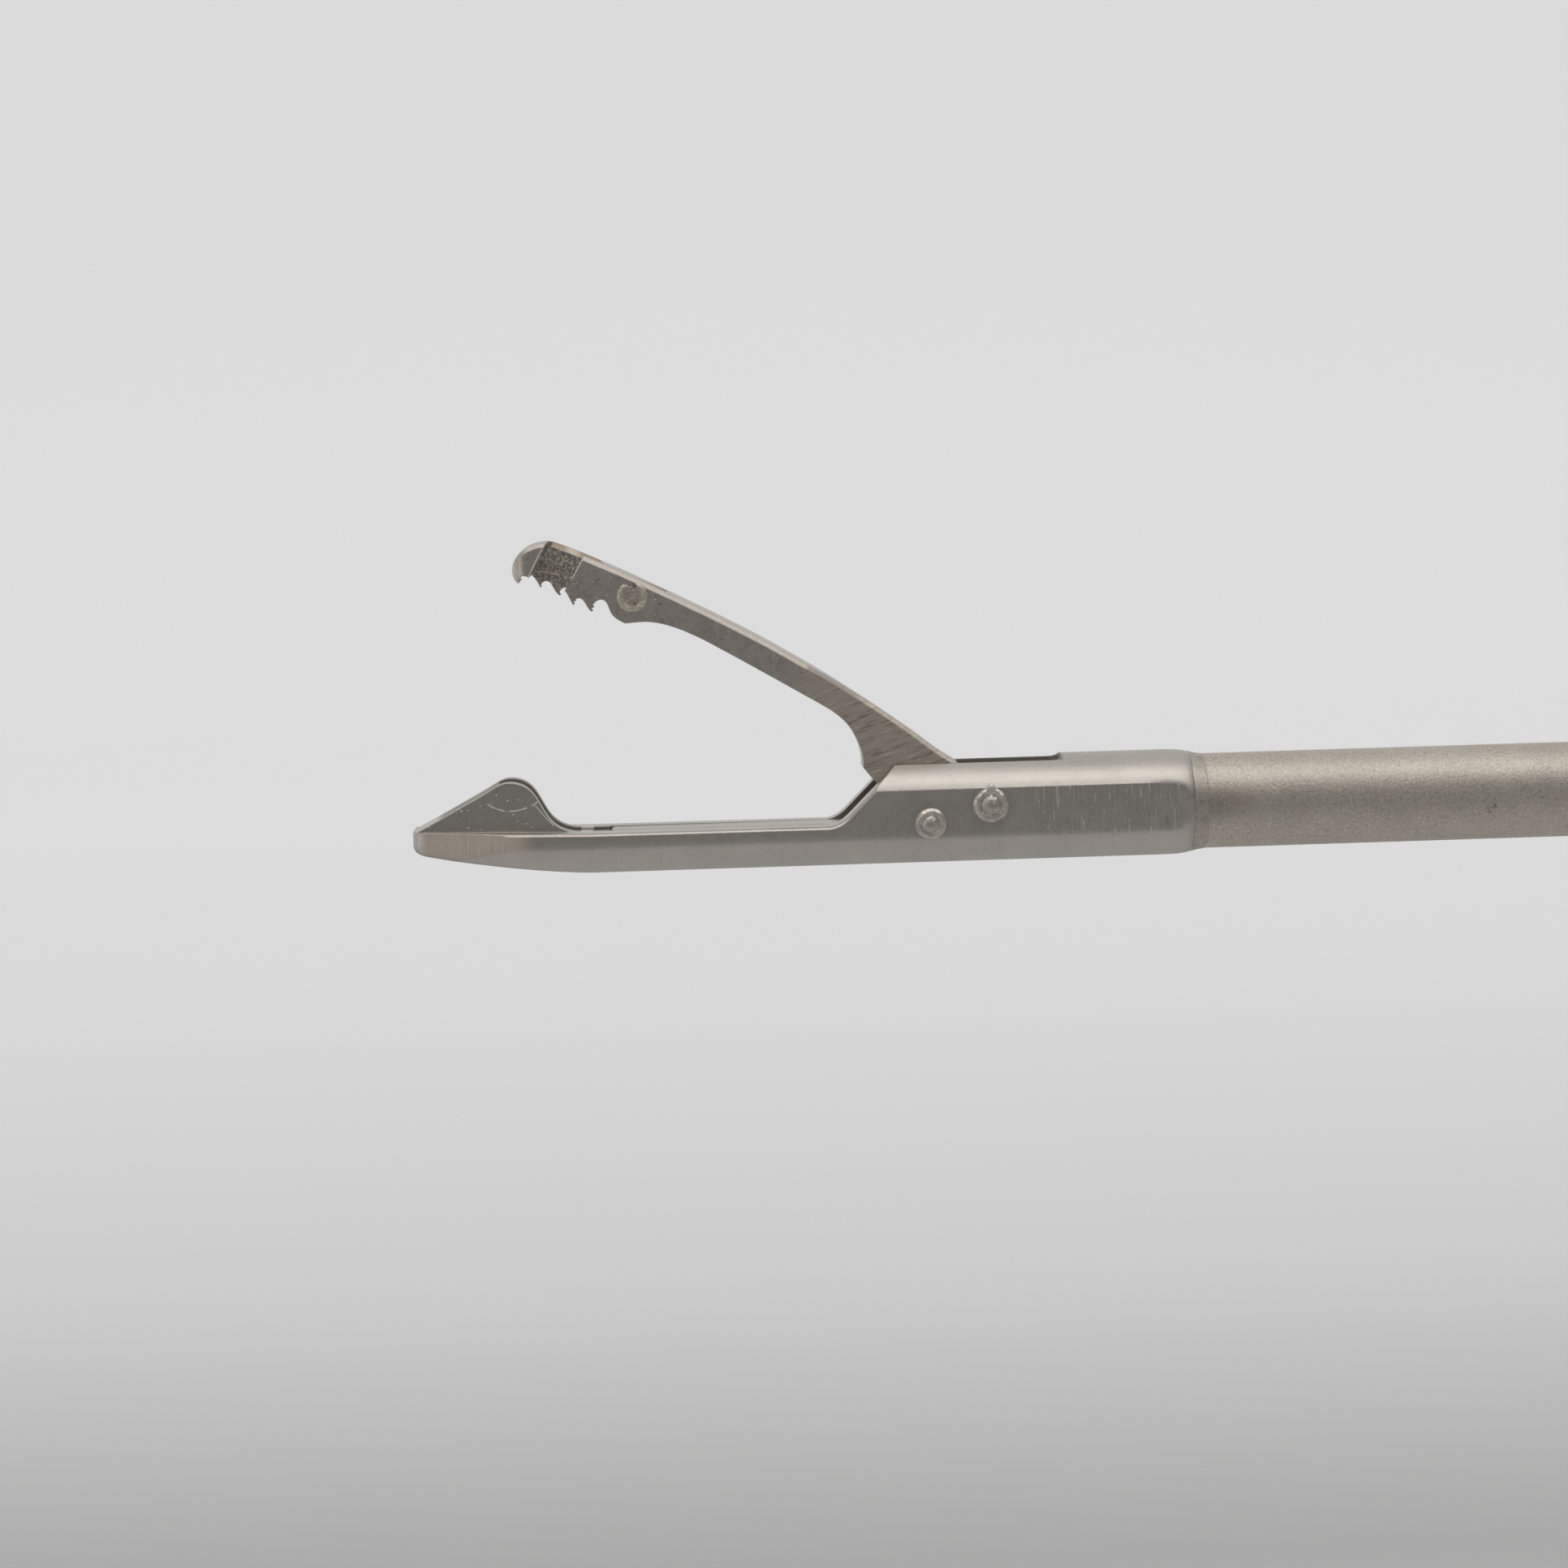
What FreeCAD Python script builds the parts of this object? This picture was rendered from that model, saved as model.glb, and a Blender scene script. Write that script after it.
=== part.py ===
import FreeCAD, Part
import math
import os

# Arthroscopic suture passer, 5 mm shaft.
# Frame: origin on the shaft axis at the front face of the handle's nose collar,
# +X towards the hand, -X towards the jaws, +Z towards the moving jaw, millimetres.

os.makedirs("parts", exist_ok=True)
doc = FreeCAD.newDocument("suture_passer")
V = FreeCAD.Vector

# ---------------------------------------------------------------- dimensions
DIMS = [
    ("tip_shift", -143.0),      # jaw pivot station, from the origin
    ("shaft_od", 5.0), ("shaft_id", 4.2), ("head_od", 5.56), ("flat_width", 4.96),
    ("slot_width", 2.4), ("fin_width", 3.3), ("track_width", 1.5), ("cover_width", 2.08),
    ("jaw_width", 4.5), ("jaw_slot", 3.4), ("tang_width", 2.3), ("tang_groove", 1.0),
    ("tongue_thick", 0.8), ("ribbon_width", 1.3), ("ribbon_thick", 0.25),
    ("pin_dia", 1.0), ("drive_dia", 0.8), ("rivet_dia", 0.6),
    ("rod_dia", 1.6), ("rod_height", 0.9), ("push_dia", 1.4), ("push_height", -1.2),
    ("arc_radius", 7.2), ("arc_centre_x", -16.05), ("arc_centre_z", 5.45),
    ("leaf_width", 1.1), ("trap_width", 2.2),
    ("frame_thick", 7.0), ("cover_thick", 2.0), ("lever_thick", 4.0), ("ring_thick", 6.0),
    ("ring_outer", 15.0), ("ring_inner", 11.0), ("thumb_thick", 8.0),
    ("lever_x", 54.0), ("lever_z", -4.4), ("trigger_x", 36.0), ("trigger_z", -22.4),
    ("finger_x", 57.0), ("finger_z", -69.0), ("thumb_x", 108.0), ("thumb_z", -46.0),
    ("pivot_dia", 2.8), ("bush_od", 3.8), ("drive_pin_dia", 1.6),
    ("tube_rear", 21.0), ("port_x", 17.5), ("port_bore", 4.26),
]
dims = doc.addObject("Spreadsheet::Sheet", "Dims")
for row, (alias, value) in enumerate(DIMS, 1):
    dims.set("A%d" % row, alias)
    dims.set("B%d" % row, repr(value))
    dims.setAlias("B%d" % row, alias)
doc.recompute()
D = dict(DIMS)
TIP = D["tip_shift"]

NODES = []


# ---------------------------------------------------------------- helpers
def bind(obj, prop, expr):
    obj.setExpression(prop, expr)


def place(obj, x=None, y=None, z=None):
    """Put a sub-part at its station; each value is a number or a sheet expression."""
    base = [0.0, 0.0, 0.0]
    for i, v in enumerate((x, y, z)):
        if isinstance(v, (int, float)):
            base[i] = float(v)
    obj.Placement = FreeCAD.Placement(V(*base), FreeCAD.Rotation())
    for axis, v in zip("xyz", (x, y, z)):
        if isinstance(v, str):
            bind(obj, ".Placement.Base." + axis, v)


def body(name, x=None, y=None, z=None):
    b = doc.addObject("PartDesign::Body", name)
    b.Label = name
    place(b, x, y, z)
    NODES.append(b)
    return b


def plane(b, role):
    return [f for f in b.Origin.OriginFeatures if f.Role == role][0]


def sketch(b, name, role="XZ_Plane", offset=0.0, tilt=None):
    s = b.newObject("Sketcher::SketchObject", name)
    s.AttachmentSupport = [(plane(b, role), "")]
    s.MapMode = "FlatFace"
    rot = FreeCAD.Rotation() if tilt is None else tilt
    if offset or tilt is not None:
        s.AttachmentOffset = FreeCAD.Placement(V(0, 0, offset), rot)
    return s


def seg(s, pts, close=False):
    p = [V(a, c, 0) for a, c in pts]
    if close:
        p.append(p[0])
    for a, c in zip(p[:-1], p[1:]):
        if (a - c).Length > 1e-5:
            s.addGeometry(Part.LineSegment(a, c), False)


def curve(s, pts):
    c = Part.BSplineCurve()
    c.interpolate([V(a, b_, 0) for a, b_ in pts])
    s.addGeometry(c, False)


def path(s, parts):
    """Closed outline from runs: 'L' straight runs, 'S' smooth curves; each run starts where the last ended."""
    last = None
    first = parts[0][1][0]
    for i, (kind, pts) in enumerate(parts):
        pts = list(pts)
        if last is not None and math.dist(last, pts[0]) > 1e-9:
            pts = [last] + pts
        if i == len(parts) - 1 and math.dist(pts[-1], first) > 1e-9:
            pts = pts + [first]
        if kind == "L":
            seg(s, pts)
        else:
            curve(s, pts)
        last = pts[-1]


def rpoly(s, pts):
    """Closed polygon with rounded corners: (x, z, radius)."""
    n = len(pts)
    ends = []
    for i in range(n):
        a = V(pts[i - 1][0], pts[i - 1][1], 0)
        b_ = V(pts[i][0], pts[i][1], 0)
        c = V(pts[(i + 1) % n][0], pts[(i + 1) % n][1], 0)
        r = pts[i][2] if len(pts[i]) > 2 else 0.0
        u = (a - b_).normalize()
        w = (c - b_).normalize()
        ang = math.acos(max(-1, min(1, u.dot(w))))
        if r <= 0 or abs(math.pi - ang) < 1e-6:
            ends.append((b_, b_, None))
            continue
        d = r / math.tan(ang / 2)
        p1, p2 = b_ + u * d, b_ + w * d
        bis = (u + w).normalize()
        cen = b_ + bis * (r / math.sin(ang / 2))
        ends.append((p1, p2, cen + (b_ - cen).normalize() * r))
    for i in range(n):
        p1, p2, mid = ends[i]
        if mid is not None:
            s.addGeometry(Part.Arc(p1, mid, p2), False)
        q1 = ends[(i + 1) % n][0]
        if (q1 - p2).Length > 1e-5:
            s.addGeometry(Part.LineSegment(p2, q1), False)


def circle(s, x, y, r, expr=None):
    i = s.addGeometry(Part.Circle(V(x, y, 0), V(0, 0, 1), r), False)
    if expr:
        import Sketcher
        k = s.addConstraint(Sketcher.Constraint("Radius", i, r))
        s.addConstraint(Sketcher.Constraint("DistanceX", -1, 1, i, 3, x)) if abs(x) > 1e-9 else s.addConstraint(
            Sketcher.Constraint("PointOnObject", i, 3, -2))
        s.addConstraint(Sketcher.Constraint("DistanceY", -1, 1, i, 3, y)) if abs(y) > 1e-9 else s.addConstraint(
            Sketcher.Constraint("PointOnObject", i, 3, -1))
        s.setExpression("Constraints[%d]" % k, expr)


def pad(b, s, length, sym=True, rev=False):
    f = b.newObject("PartDesign::Pad", s.Name + "_pad")
    f.Profile = s
    if sym:
        f.SideType = "Symmetric"
    f.Reversed = rev
    setlen(f, length)
    s.Visibility = False
    return f


def pocket(b, s, length, sym=True, rev=False):
    f = b.newObject("PartDesign::Pocket", s.Name + "_cut")
    f.Profile = s
    if sym:
        f.SideType = "Symmetric"
    f.Reversed = rev
    setlen(f, length)
    s.Visibility = False
    return f


def setlen(f, length):
    if isinstance(length, str):
        bind(f, "Length", length)
        f.Length = 1.0
    else:
        f.Length = length


def revolve(b, name, pts, axis="H_Axis", cut=False):
    """Turned piece: profile on the XY plane about its X (H) or Y (V) axis."""
    s = sketch(b, name, "XY_Plane")
    seg(s, pts, close=True)
    f = b.newObject("PartDesign::Groove" if cut else "PartDesign::Revolution", name + "_rev")
    f.Profile = s
    f.ReferenceAxis = (s, [axis])
    f.Angle = 360.0
    s.Visibility = False
    return f


def edges(shape, test):
    out = []
    for i, e in enumerate(shape.Edges, 1):
        if test(e):
            out.append("Edge%d" % i)
    return out


def circle_radius(e):
    try:
        c = e.Curve
    except TypeError:
        return 0.0
    return c.Radius if c.TypeId == "Part::GeomCircle" else 0.0


def ends_at(e, fn):
    return all(fn(v.Point) for v in e.Vertexes) and fn(e.valueAt((e.FirstParameter + e.LastParameter) / 2))


def dress(b, kind, names, size):
    """Edge break on the body's present tip; dropped again if the kernel refuses it."""
    doc.recompute()
    base = b.Tip
    if not names:
        print("no edges for", kind, b.Name)
        return None
    f = b.newObject("PartDesign::" + kind, b.Name + "_" + kind.lower() + str(len(b.Group)))
    f.Base = (base, names)
    if kind == "Fillet":
        f.Radius = size
    else:
        f.Size = size
    doc.recompute()
    bad = ("Invalid" in f.State or "Error" in f.State or f.Shape.isNull() or not f.Shape.isValid()
           or f.Shape.Volume < 0.5 * base.Shape.Volume or len(f.Shape.Solids) != len(base.Shape.Solids))
    if bad:
        print("edge break refused:", b.Name, kind, size, len(names))
        b.removeObject(f)
        doc.removeObject(f.Name)
        b.Tip = base
        doc.recompute()
        return None
    return f


def node(obj, label):
    obj.Label = label
    NODES.append(obj)
    return obj


# ================================================================ tip
P1 = (-0.20, -0.51)          # jaw pivot, in the tip frame
P2 = (2.96, 0.37)            # rod guide pin
RV = (-15.34, 11.75)         # trap rivet, open jaw
CX, CZ, AR = D["arc_centre_x"], D["arc_centre_z"], D["arc_radius"]

# ---- distal head: fixed jaw with its fin, and the head body
b = body("distal_head", "Dims.tip_shift")
revolve(b, "head_turned", [(-27.13, 0), (-27.13, 2.78), (12.40, 2.78), (12.95, 2.76), (13.35, 2.71), (13.70, 2.62),
                           (13.95, 2.515), (14.05, 2.42), (14.05, 0)])
s = sketch(b, "above_jaw")
path(s, [("L", [(-30, -0.20), (-26.9, -0.24), (-18.0, -0.47), (-5.55, -0.5)]), ("S", [(-5.55, -0.5), (-5.16, -0.44), (-4.80, -0.27), (-4.45, 0.0)]),
         ("L", [(-4.45, 0.0), (-1.62, 2.80), (-1.62, 5), (-30, 5)])])
pocket(b, s, 8.0)
s = sketch(b, "fin")
path(s, [("L", [(-27.05, -0.9), (-27.05, -0.36), (-26.81, -0.17)]),
         ("S", [(-26.81, -0.17), (-26.07, 0.20), (-25.35, 0.585), (-24.64, 0.965), (-23.94, 1.34), (-23.22, 1.73),
                (-22.87, 1.94), (-22.58, 2.10), (-22.28, 2.20), (-21.98, 2.22), (-21.60, 2.16), (-21.24, 2.01),
                (-20.96, 1.79), (-20.69, 1.45), (-20.42, 0.98), (-20.16, 0.50), (-19.83, 0.08), (-19.49, -0.18),
                (-19.07, -0.36), (-18.5, -0.46)]),
         ("L", [(-18.5, -0.46), (-18.5, -0.9), (-27.05, -0.9)])])
pad(b, s, "Dims.fin_width")
s = sketch(b, "belly")
path(s, [("S", [(-27.14, -0.30), (-27.13, -0.93), (-27.06, -1.13), (-26.84, -1.31), (-26.36, -1.46), (-25.1, -1.69),
                (-23.83, -1.92), (-22.56, -2.14), (-21.29, -2.34), (-20.02, -2.51), (-19.0, -2.63), (-17.3, -2.79)]),
         ("L", [(-17.3, -2.79), (-17.3, -4), (-28.5, -4), (-28.5, -0.30)])])
pocket(b, s, 8.0)
FH = D["flat_width"] / 2
s = sketch(b, "flats", "XY_Plane")
for k in (1, -1):
    path(s, [("L", [(-28, FH * k), (12.5, FH * k)]),
             ("S", [(12.5, FH * k), (13.0, (FH + 0.04) * k), (13.4, (FH + 0.15) * k), (13.7, (FH + 0.33) * k)]),
             ("L", [(13.7, (FH + 0.33) * k), (13.7, 4 * k), (-28, 4 * k)])])
pocket(b, s, 10.0)
# nose facets lean outwards towards the belly
for k, nm in ((1, "facet_far"), (-1, "facet_near")):
    tilt = FreeCAD.Rotation(V(1, 0, 0), 4.5 * k)
    s = sketch(b, nm, "XY_Plane", 0.0, tilt)
    shift = 0.03 * k
    path(s, [("L", [(-20.4, (FH + 0.127) * k + shift), (-21.4, FH * k + shift), (-26.2, 1.87 * k + shift)]),
             ("S", [(-26.2, 1.87 * k + shift), (-26.75, 1.72 * k + shift), (-27.06, 1.34 * k + shift),
                    (-27.14, 0.75 * k + shift)]),
             ("L", [(-27.14, 0.75 * k + shift), (-29, 0.75 * k + shift), (-29, 5 * k), (-20.4, 5 * k)])])
    pocket(b, s, 12.0)
s = sketch(b, "tang_slot")
seg(s, [(-9, -0.5), (-3.4, -0.5), (-1.7, -1.42), (6.83, -1.42), (6.83, 4), (-9, 4)], close=True)
pocket(b, s, "Dims.slot_width")
s = sketch(b, "track")
ph = math.radians(66.0)
run = [(CX, CZ - AR - 0.2)]
for k in range(1, 9):
    q = ph * k / 8
    run.append((CX - (AR + 0.2) * math.sin(q), CZ - (AR + 0.2) * math.cos(q)))
path(s, [("L", [(7.5, CZ - AR - 0.2), run[0]]), ("S", run),
         ("L", [run[-1], (-23.0, 3.4), (-16.9, 3.4), (-16.9, -1.55), (7.5, -1.55)])])
pocket(b, s, "Dims.track_width")
s = sketch(b, "cover_seat")
seg(s, [(-16.9, -1.43), (-4.2, -1.43), (-4.2, 1.0), (-16.9, 1.0)], close=True)
pocket(b, s, "Dims.cover_width + 0.02")
revolve(b, "head_bore", [(6.0, 0), (6.0, 2.1), (13.45, 2.1), (13.45, 2.51), (14.3, 2.51), (14.3, 0)], cut=True)
s = sketch(b, "pin_holes")
circle(s, P1[0], P1[1], 0.51, "Dims.pin_dia / 2 + 0.01")
circle(s, P2[0], P2[1], 0.51, "Dims.pin_dia / 2 + 0.01")
pocket(b, s, 8.0)
doc.recompute()
dress(b, "Fillet", edges(b.Tip.Shape, lambda e: ends_at(e, lambda p: abs(p.x - 6.83) < 0.01 and abs(abs(p.y) - 1.2) < 0.01)
                         and e.Length > 0.3), 0.45)
dress(b, "Chamfer", edges(b.Tip.Shape, lambda e: ends_at(
    e, lambda p: -0.51 < p.z < -0.15 and abs(abs(p.y) - FH) < 0.01 and p.x < -5.4) and e.Length > 0.5), 0.15)
dress(b, "Chamfer", edges(b.Tip.Shape, lambda e: ends_at(
    e, lambda p: -4.6 < p.x < -1.6 and abs(p.z - (p.x + 4.45) * 2.80 / 2.83) < 0.03 and abs(p.y) > 1.3) and e.Length > 0.5), 0.08)
dress(b, "Chamfer", edges(b.Tip.Shape, lambda e: ends_at(
    e, lambda p: abs(abs(p.y) - 1.65) < 0.01 and p.z > -0.45 and p.x < -18.6) and e.Length > 3), 0.07)

# ---- cover strip over the needle track
b = body("track_cover", "Dims.tip_shift")
s = sketch(b, "strip")
path(s, [("L", [(-16.86, -1.42), (-16.86, -0.70)]), ("S", [(-16.86, -0.70), (-16.78, -0.56), (-16.60, -0.5)]),
         ("L", [(-16.60, -0.5), (-4.24, -0.5), (-4.24, -1.42)])])
pad(b, s, "Dims.cover_width")

# ---- cross pins with peened, welded ends
def cross_pin(name, x, z, r, head, half, proud, tip=True):
    bb = body(name, ("Dims.tip_shift + %r" % x) if tip else x, None, z)
    rise = proud
    prof = [(0, -half - rise * 1.25), (r * 0.55, -half - rise * 1.15), (r * 0.95, -half - rise * 0.35),
            (r * 1.08, -half - rise * 0.25), (head * 0.80, -half - rise * 1.0), (head * 0.93, -half - rise * 0.7),
            (head, -half), (r, -half), (r, half), (head, half), (head * 0.93, half + rise * 0.7),
            (head * 0.80, half + rise * 1.0), (r * 1.08, half + rise * 0.25), (r * 0.95, half + rise * 0.35),
            (r * 0.55, half + rise * 1.15), (0, half + rise * 1.25)]
    revolve(bb, name + "_turned", prof, "V_Axis")
    return bb


cross_pin("jaw_pivot_pin", P1[0], P1[1], D["pin_dia"] / 2, 0.81, FH + 0.001, 0.07)
cross_pin("guide_pin", P2[0], P2[1], D["pin_dia"] / 2, 0.90, FH + 0.001, 0.08)
cross_pin("trap_rivet", RV[0], RV[1], D["rivet_dia"] / 2, 0.75, 2.251, 0.05)

# ---- upper jaw, drawn open
b = body("upper_jaw", "Dims.tip_shift")
s = sketch(b, "jaw_outline")
TOP = [(1.34, 2.56), (0.71, 2.96), (0.08, 3.42), (-0.55, 3.93), (-1.20, 4.42), (-1.83, 4.88), (-2.46, 5.33),
       (-3.09, 5.78), (-3.72, 6.21), (-4.30, 6.60), (-5.57, 7.43), (-6.84, 8.20), (-8.11, 8.97), (-9.38, 9.69),
       (-10.65, 10.38), (-11.91, 11.04), (-13.17, 11.68), (-14.45, 12.32), (-15.71, 12.95), (-16.97, 13.53),
       (-18.24, 14.10), (-19.30, 14.52)]
BEAK = [(-19.30, 14.52), (-19.84, 14.62), (-20.35, 14.54), (-20.78, 14.36), (-21.13, 14.06), (-21.38, 13.70),
        (-21.51, 13.30), (-21.48, 12.98), (-21.36, 12.74), (-21.18, 12.56)]
path(s, [("S", TOP), ("S", BEAK), ("L", [(-21.18, 12.56), (-21.12, 12.64)]),
         ("S", [(-21.12, 12.64), (-21.17, 12.75), (-21.10, 12.87), (-20.93, 12.955), (-20.72, 12.91), (-20.53, 12.78),
                (-20.36, 12.56), (-20.22, 12.31), (-20.15, 12.18)]),
         ("L", [(-20.15, 12.18), (-20.09, 12.24)]),
         ("S", [(-20.09, 12.24), (-20.12, 12.32), (-20.05, 12.43), (-19.93, 12.50), (-19.79, 12.51), (-19.66, 12.43),
                (-19.53, 12.25), (-19.34, 11.91), (-19.16, 11.74)]),
         ("L", [(-19.16, 11.74), (-19.07, 11.80)]),
         ("S", [(-19.07, 11.80), (-19.16, 11.88), (-19.13, 11.98), (-19.03, 12.09), (-18.90, 12.14), (-18.78, 12.11),
                (-18.66, 11.94), (-18.52, 11.65), (-18.38, 11.38)]),
         ("L", [(-18.38, 11.38), (-18.31, 11.46)]),
         ("S", [(-18.31, 11.46), (-18.35, 11.55), (-18.28, 11.66), (-18.17, 11.72), (-18.05, 11.73), (-17.92, 11.67),
                (-17.80, 11.52), (-17.66, 11.27), (-17.45, 11.02)]),
         ("L", [(-17.45, 11.02), (-17.36, 11.10)]),
         ("S", [(-17.36, 11.10), (-17.44, 11.17), (-17.41, 11.30), (-17.29, 11.46), (-17.11, 11.59), (-16.94, 11.625),
                (-16.77, 11.57), (-16.65, 11.42), (-16.55, 11.17), (-16.44, 10.90), (-16.27, 10.69), (-16.05, 10.53),
                (-15.74, 10.36)]),
         ("S", [(-15.74, 10.36), (-15.31, 10.39), (-14.88, 10.415), (-14.37, 10.39), (-13.90, 10.30), (-13.30, 10.12),
                (-12.64, 9.85), (-12.02, 9.55), (-11.39, 9.21), (-10.78, 8.86), (-9.54, 8.13), (-8.30, 7.40),
                (-7.05, 6.65), (-5.90, 5.96), (-5.20, 5.50), (-4.60, 5.00), (-4.20, 4.52), (-3.88, 3.96),
                (-3.68, 3.44), (-3.57, 2.92), (-3.56, 2.40)]),
         ("L", [(-3.56, 2.40), (-3.06, 1.77), (-2.10, 0.80), (-1.03, -0.28)]),
         ("S", [(-1.03, -0.28), (-1.05, -0.51), (-0.985, -0.835), (-0.80, -1.11), (-0.525, -1.295), (-0.20, -1.36),
                (0.125, -1.295), (0.40, -1.11), (0.585, -0.835), (0.65, -0.51)]),
         ("S", [(0.65, -0.51), (1.02, 0.20), (1.36, 0.95), (1.56, 1.70), (1.54, 2.25), (1.34, 2.56)])])
pad(b, s, "Dims.jaw_width")
s = sketch(b, "heel_sides", "XY_Plane")
for k in (1, -1):
    path(s, [("S", [(-7.1, 2.27 * k), (-6.2, 2.18 * k), (-5.2, 1.72 * k), (-4.4, 1.34 * k), (-3.7, 1.18 * k),
                    (-3.0, 1.15 * k)]),
             ("L", [(-3.0, 1.15 * k), (3, 1.15 * k), (3, 3 * k), (-7.1, 3 * k)])])
pocket(b, s, 40.0)
s = sketch(b, "beak_plan", "XY_Plane")
for k in (1, -1):
    path(s, [("S", [(-20.75, 2.26 * k), (-21.05, 2.14 * k), (-21.28, 1.90 * k), (-21.44, 1.50 * k), (-21.56, 0.85 * k)]),
             ("L", [(-21.56, 0.85 * k), (-23, 0.85 * k), (-23, 3 * k), (-20.75, 3 * k)])])
pocket(b, s, 60.0)
s = sketch(b, "tip_slot")
path(s, [("L", [(-19.37, 15.2), (-19.55, 14.86), (-19.74, 14.50), (-20.62, 12.86), (-20.62, 11.0), (-16.75, 9.4),
                (-16.35, 10.98), (-15.9, 10.98), (-14.70, 11.0), (-14.70, 11.98), (-17.0, 13.07), (-17.15, 14.6),
                (-17.15, 15.2)])])
pocket(b, s, "Dims.jaw_slot")
s = sketch(b, "window")
seg(s, [(-19.55, 14.86), (-19.74, 14.50), (-20.62, 12.86), (-20.5, 11.6), (-19.0, 11.2), (-18.80, 12.14), (-18.0, 13.5),
        (-17.2, 14.86)], close=True)
pocket(b, s, 4.0, sym=False, rev=True)
s = sketch(b, "leaf_groove")
seg(s, [(-16.95, 14.1), (-16.98, 13.14), (-13.62, 11.55), (-13.50, 11.82), (-13.3, 12.9)], close=True)
pocket(b, s, "Dims.leaf_width + 0.1")
s = sketch(b, "trap_gap")
seg(s, [(-17.3, 13.9), (-17.3, 12.2), (-15.9, 12.2), (-15.9, 13.6)], close=True)
pocket(b, s, "Dims.leaf_width + 0.1")
s = sketch(b, "drive_groove")
gp = [(-0.42, 1.35), (-0.42, 2.2), (0.0, 2.66), (0.9, 2.70), (2.6, 2.62), (2.8, -0.75), (0.88, -0.75), (0.76, -0.38),
      (0.80, 0.80), (0.1, 0.97)]
seg(s, [(P1[0] + a, P1[1] + c) for a, c in gp], close=True)
pocket(b, s, "Dims.tang_groove")
DP = (P1[0] + 1.9 * math.sin(math.radians(14)), P1[1] + 1.9 * math.cos(math.radians(14)))
s = sketch(b, "jaw_holes")
circle(s, P1[0], P1[1], 0.53, "Dims.pin_dia / 2 + 0.03")
circle(s, DP[0], DP[1], 0.41, "Dims.drive_dia / 2 + 0.01")
circle(s, RV[0], RV[1], 0.31, "Dims.rivet_dia / 2 + 0.01")
pocket(b, s, 8.0)
# low ridge on the far wall's inner face
s = sketch(b, "ridge", "XZ_Plane", -1.78)
seg(s, [(-20.60, 13.15), (-19.22, 12.86), (-19.18, 12.74), (-20.62, 13.02)], close=True)
pad(b, s, 0.16, sym=False)
doc.recompute()
dress(b, "Chamfer", edges(b.Tip.Shape, lambda e: ends_at(
    e, lambda p: abs(abs(p.y) - 2.25) < 0.01 and p.z > 6.5 and p.z > -0.5 * p.x + 3.3) and e.Length > 0.8), 0.22)
# the heel's upper edges, down to where it enters the head
dress(b, "Chamfer", edges(b.Tip.Shape, lambda e: ends_at(
    e, lambda p: 1.1 < abs(p.y) < 2.26 and -7.3 < p.x < 1.4 and abs(p.z - 7.45 + 0.697 * (p.x + 5.57)) < 0.3) and e.Length > 0.5), 0.2)
# bevel along the far wall's inner top edge
s = sketch(b, "wall_bevel")
s.AttachmentOffset = FreeCAD.Placement(V(-18.2, 13.77, -D["jaw_slot"] / 2), FreeCAD.Rotation(V(-0.9214, 0.3886, 0), 45))
seg(s, [(-0.9214 * u + 0.3886 * w, 0.3886 * u + 0.9214 * w) for u, w in ((-1.25, -1.2), (1.45, -1.2), (1.45, 1.2), (-1.25, 1.2))],
    close=True)
pocket(b, s, 0.8, sym=False, rev=True)

# ---- drive pin through the tang
b = body("jaw_drive_pin", "Dims.tip_shift + %r" % DP[0], None, DP[1])
s = sketch(b, "drive_section")
circle(s, 0, 0, 0.4, "Dims.drive_dia / 2")
pad(b, s, "Dims.tang_width - 0.06")

# ---- suture trap on the rivet
b = body("suture_trap", "Dims.tip_shift")
s = sketch(b, "trap_outline")
path(s, [("L", [(-18.02, 13.18), (-18.18, 12.42), (-17.5, 12.05), (-16.4, 11.45), (-15.92, 11.22)]),
         ("S", [(-15.92, 11.22), (-15.60, 11.09), (-15.20, 11.09), (-14.92, 11.28), (-14.80, 11.62)]),
         ("S", [(-14.80, 11.62), (-14.84, 11.88), (-15.06, 12.05), (-15.34, 12.16)]),
         ("L", [(-15.34, 12.16), (-16.3, 12.38), (-16.95, 12.55), (-17.42, 12.72), (-17.62, 13.02)])])
pad(b, s, "Dims.trap_width")
s = sketch(b, "trap_hole")
circle(s, RV[0], RV[1], 0.33, "Dims.rivet_dia / 2 + 0.03")
pocket(b, s, 8.0)

# ---- leaf spring let into the jaw's top
b = body("trap_leaf_spring", "Dims.tip_shift")
s = sketch(b, "leaf_section")
seg(s, [(-16.86, 13.26), (-13.66, 11.75), (-13.58, 11.94), (-16.80, 13.46)], close=True)
pad(b, s, "Dims.leaf_width")

# ---- needle: curved tip lying in the fin's ramp
A1 = math.radians(55.0)
A0 = math.radians(1.0)
hw = D["ribbon_thick"] / 2


def onarc(q, r):
    return (CX - r * math.sin(q), CZ - r * math.cos(q))


b = body("needle_tip", "Dims.tip_shift")
s = sketch(b, "tip_section")
o = [onarc(A0 + (A1 - A0) * k / 10, AR + hw) for k in range(11)]
i_ = [onarc(A1 - 0.05 + (A0 - A1 + 0.05) * k / 10, AR - hw) for k in range(11)]
path(s, [("S", o), ("L", [o[-1], i_[0]]), ("S", i_), ("L", [i_[-1], o[0]])])
pad(b, s, "Dims.ribbon_width")
# sharpened, forked point: plan view cut along the last stretch
s = sketch(b, "point_cut", "XY_Plane")
xt = o[-1][0]
for k in (1, -1):
    seg(s, [(xt - 0.05, 0.18 * k), (xt + 0.55, 0.66 * k), (xt + 0.55, 1.5 * k), (xt - 0.6, 1.5 * k),
            (xt - 0.6, 0.18 * k)], close=True)
pocket(b, s, 30.0)

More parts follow.
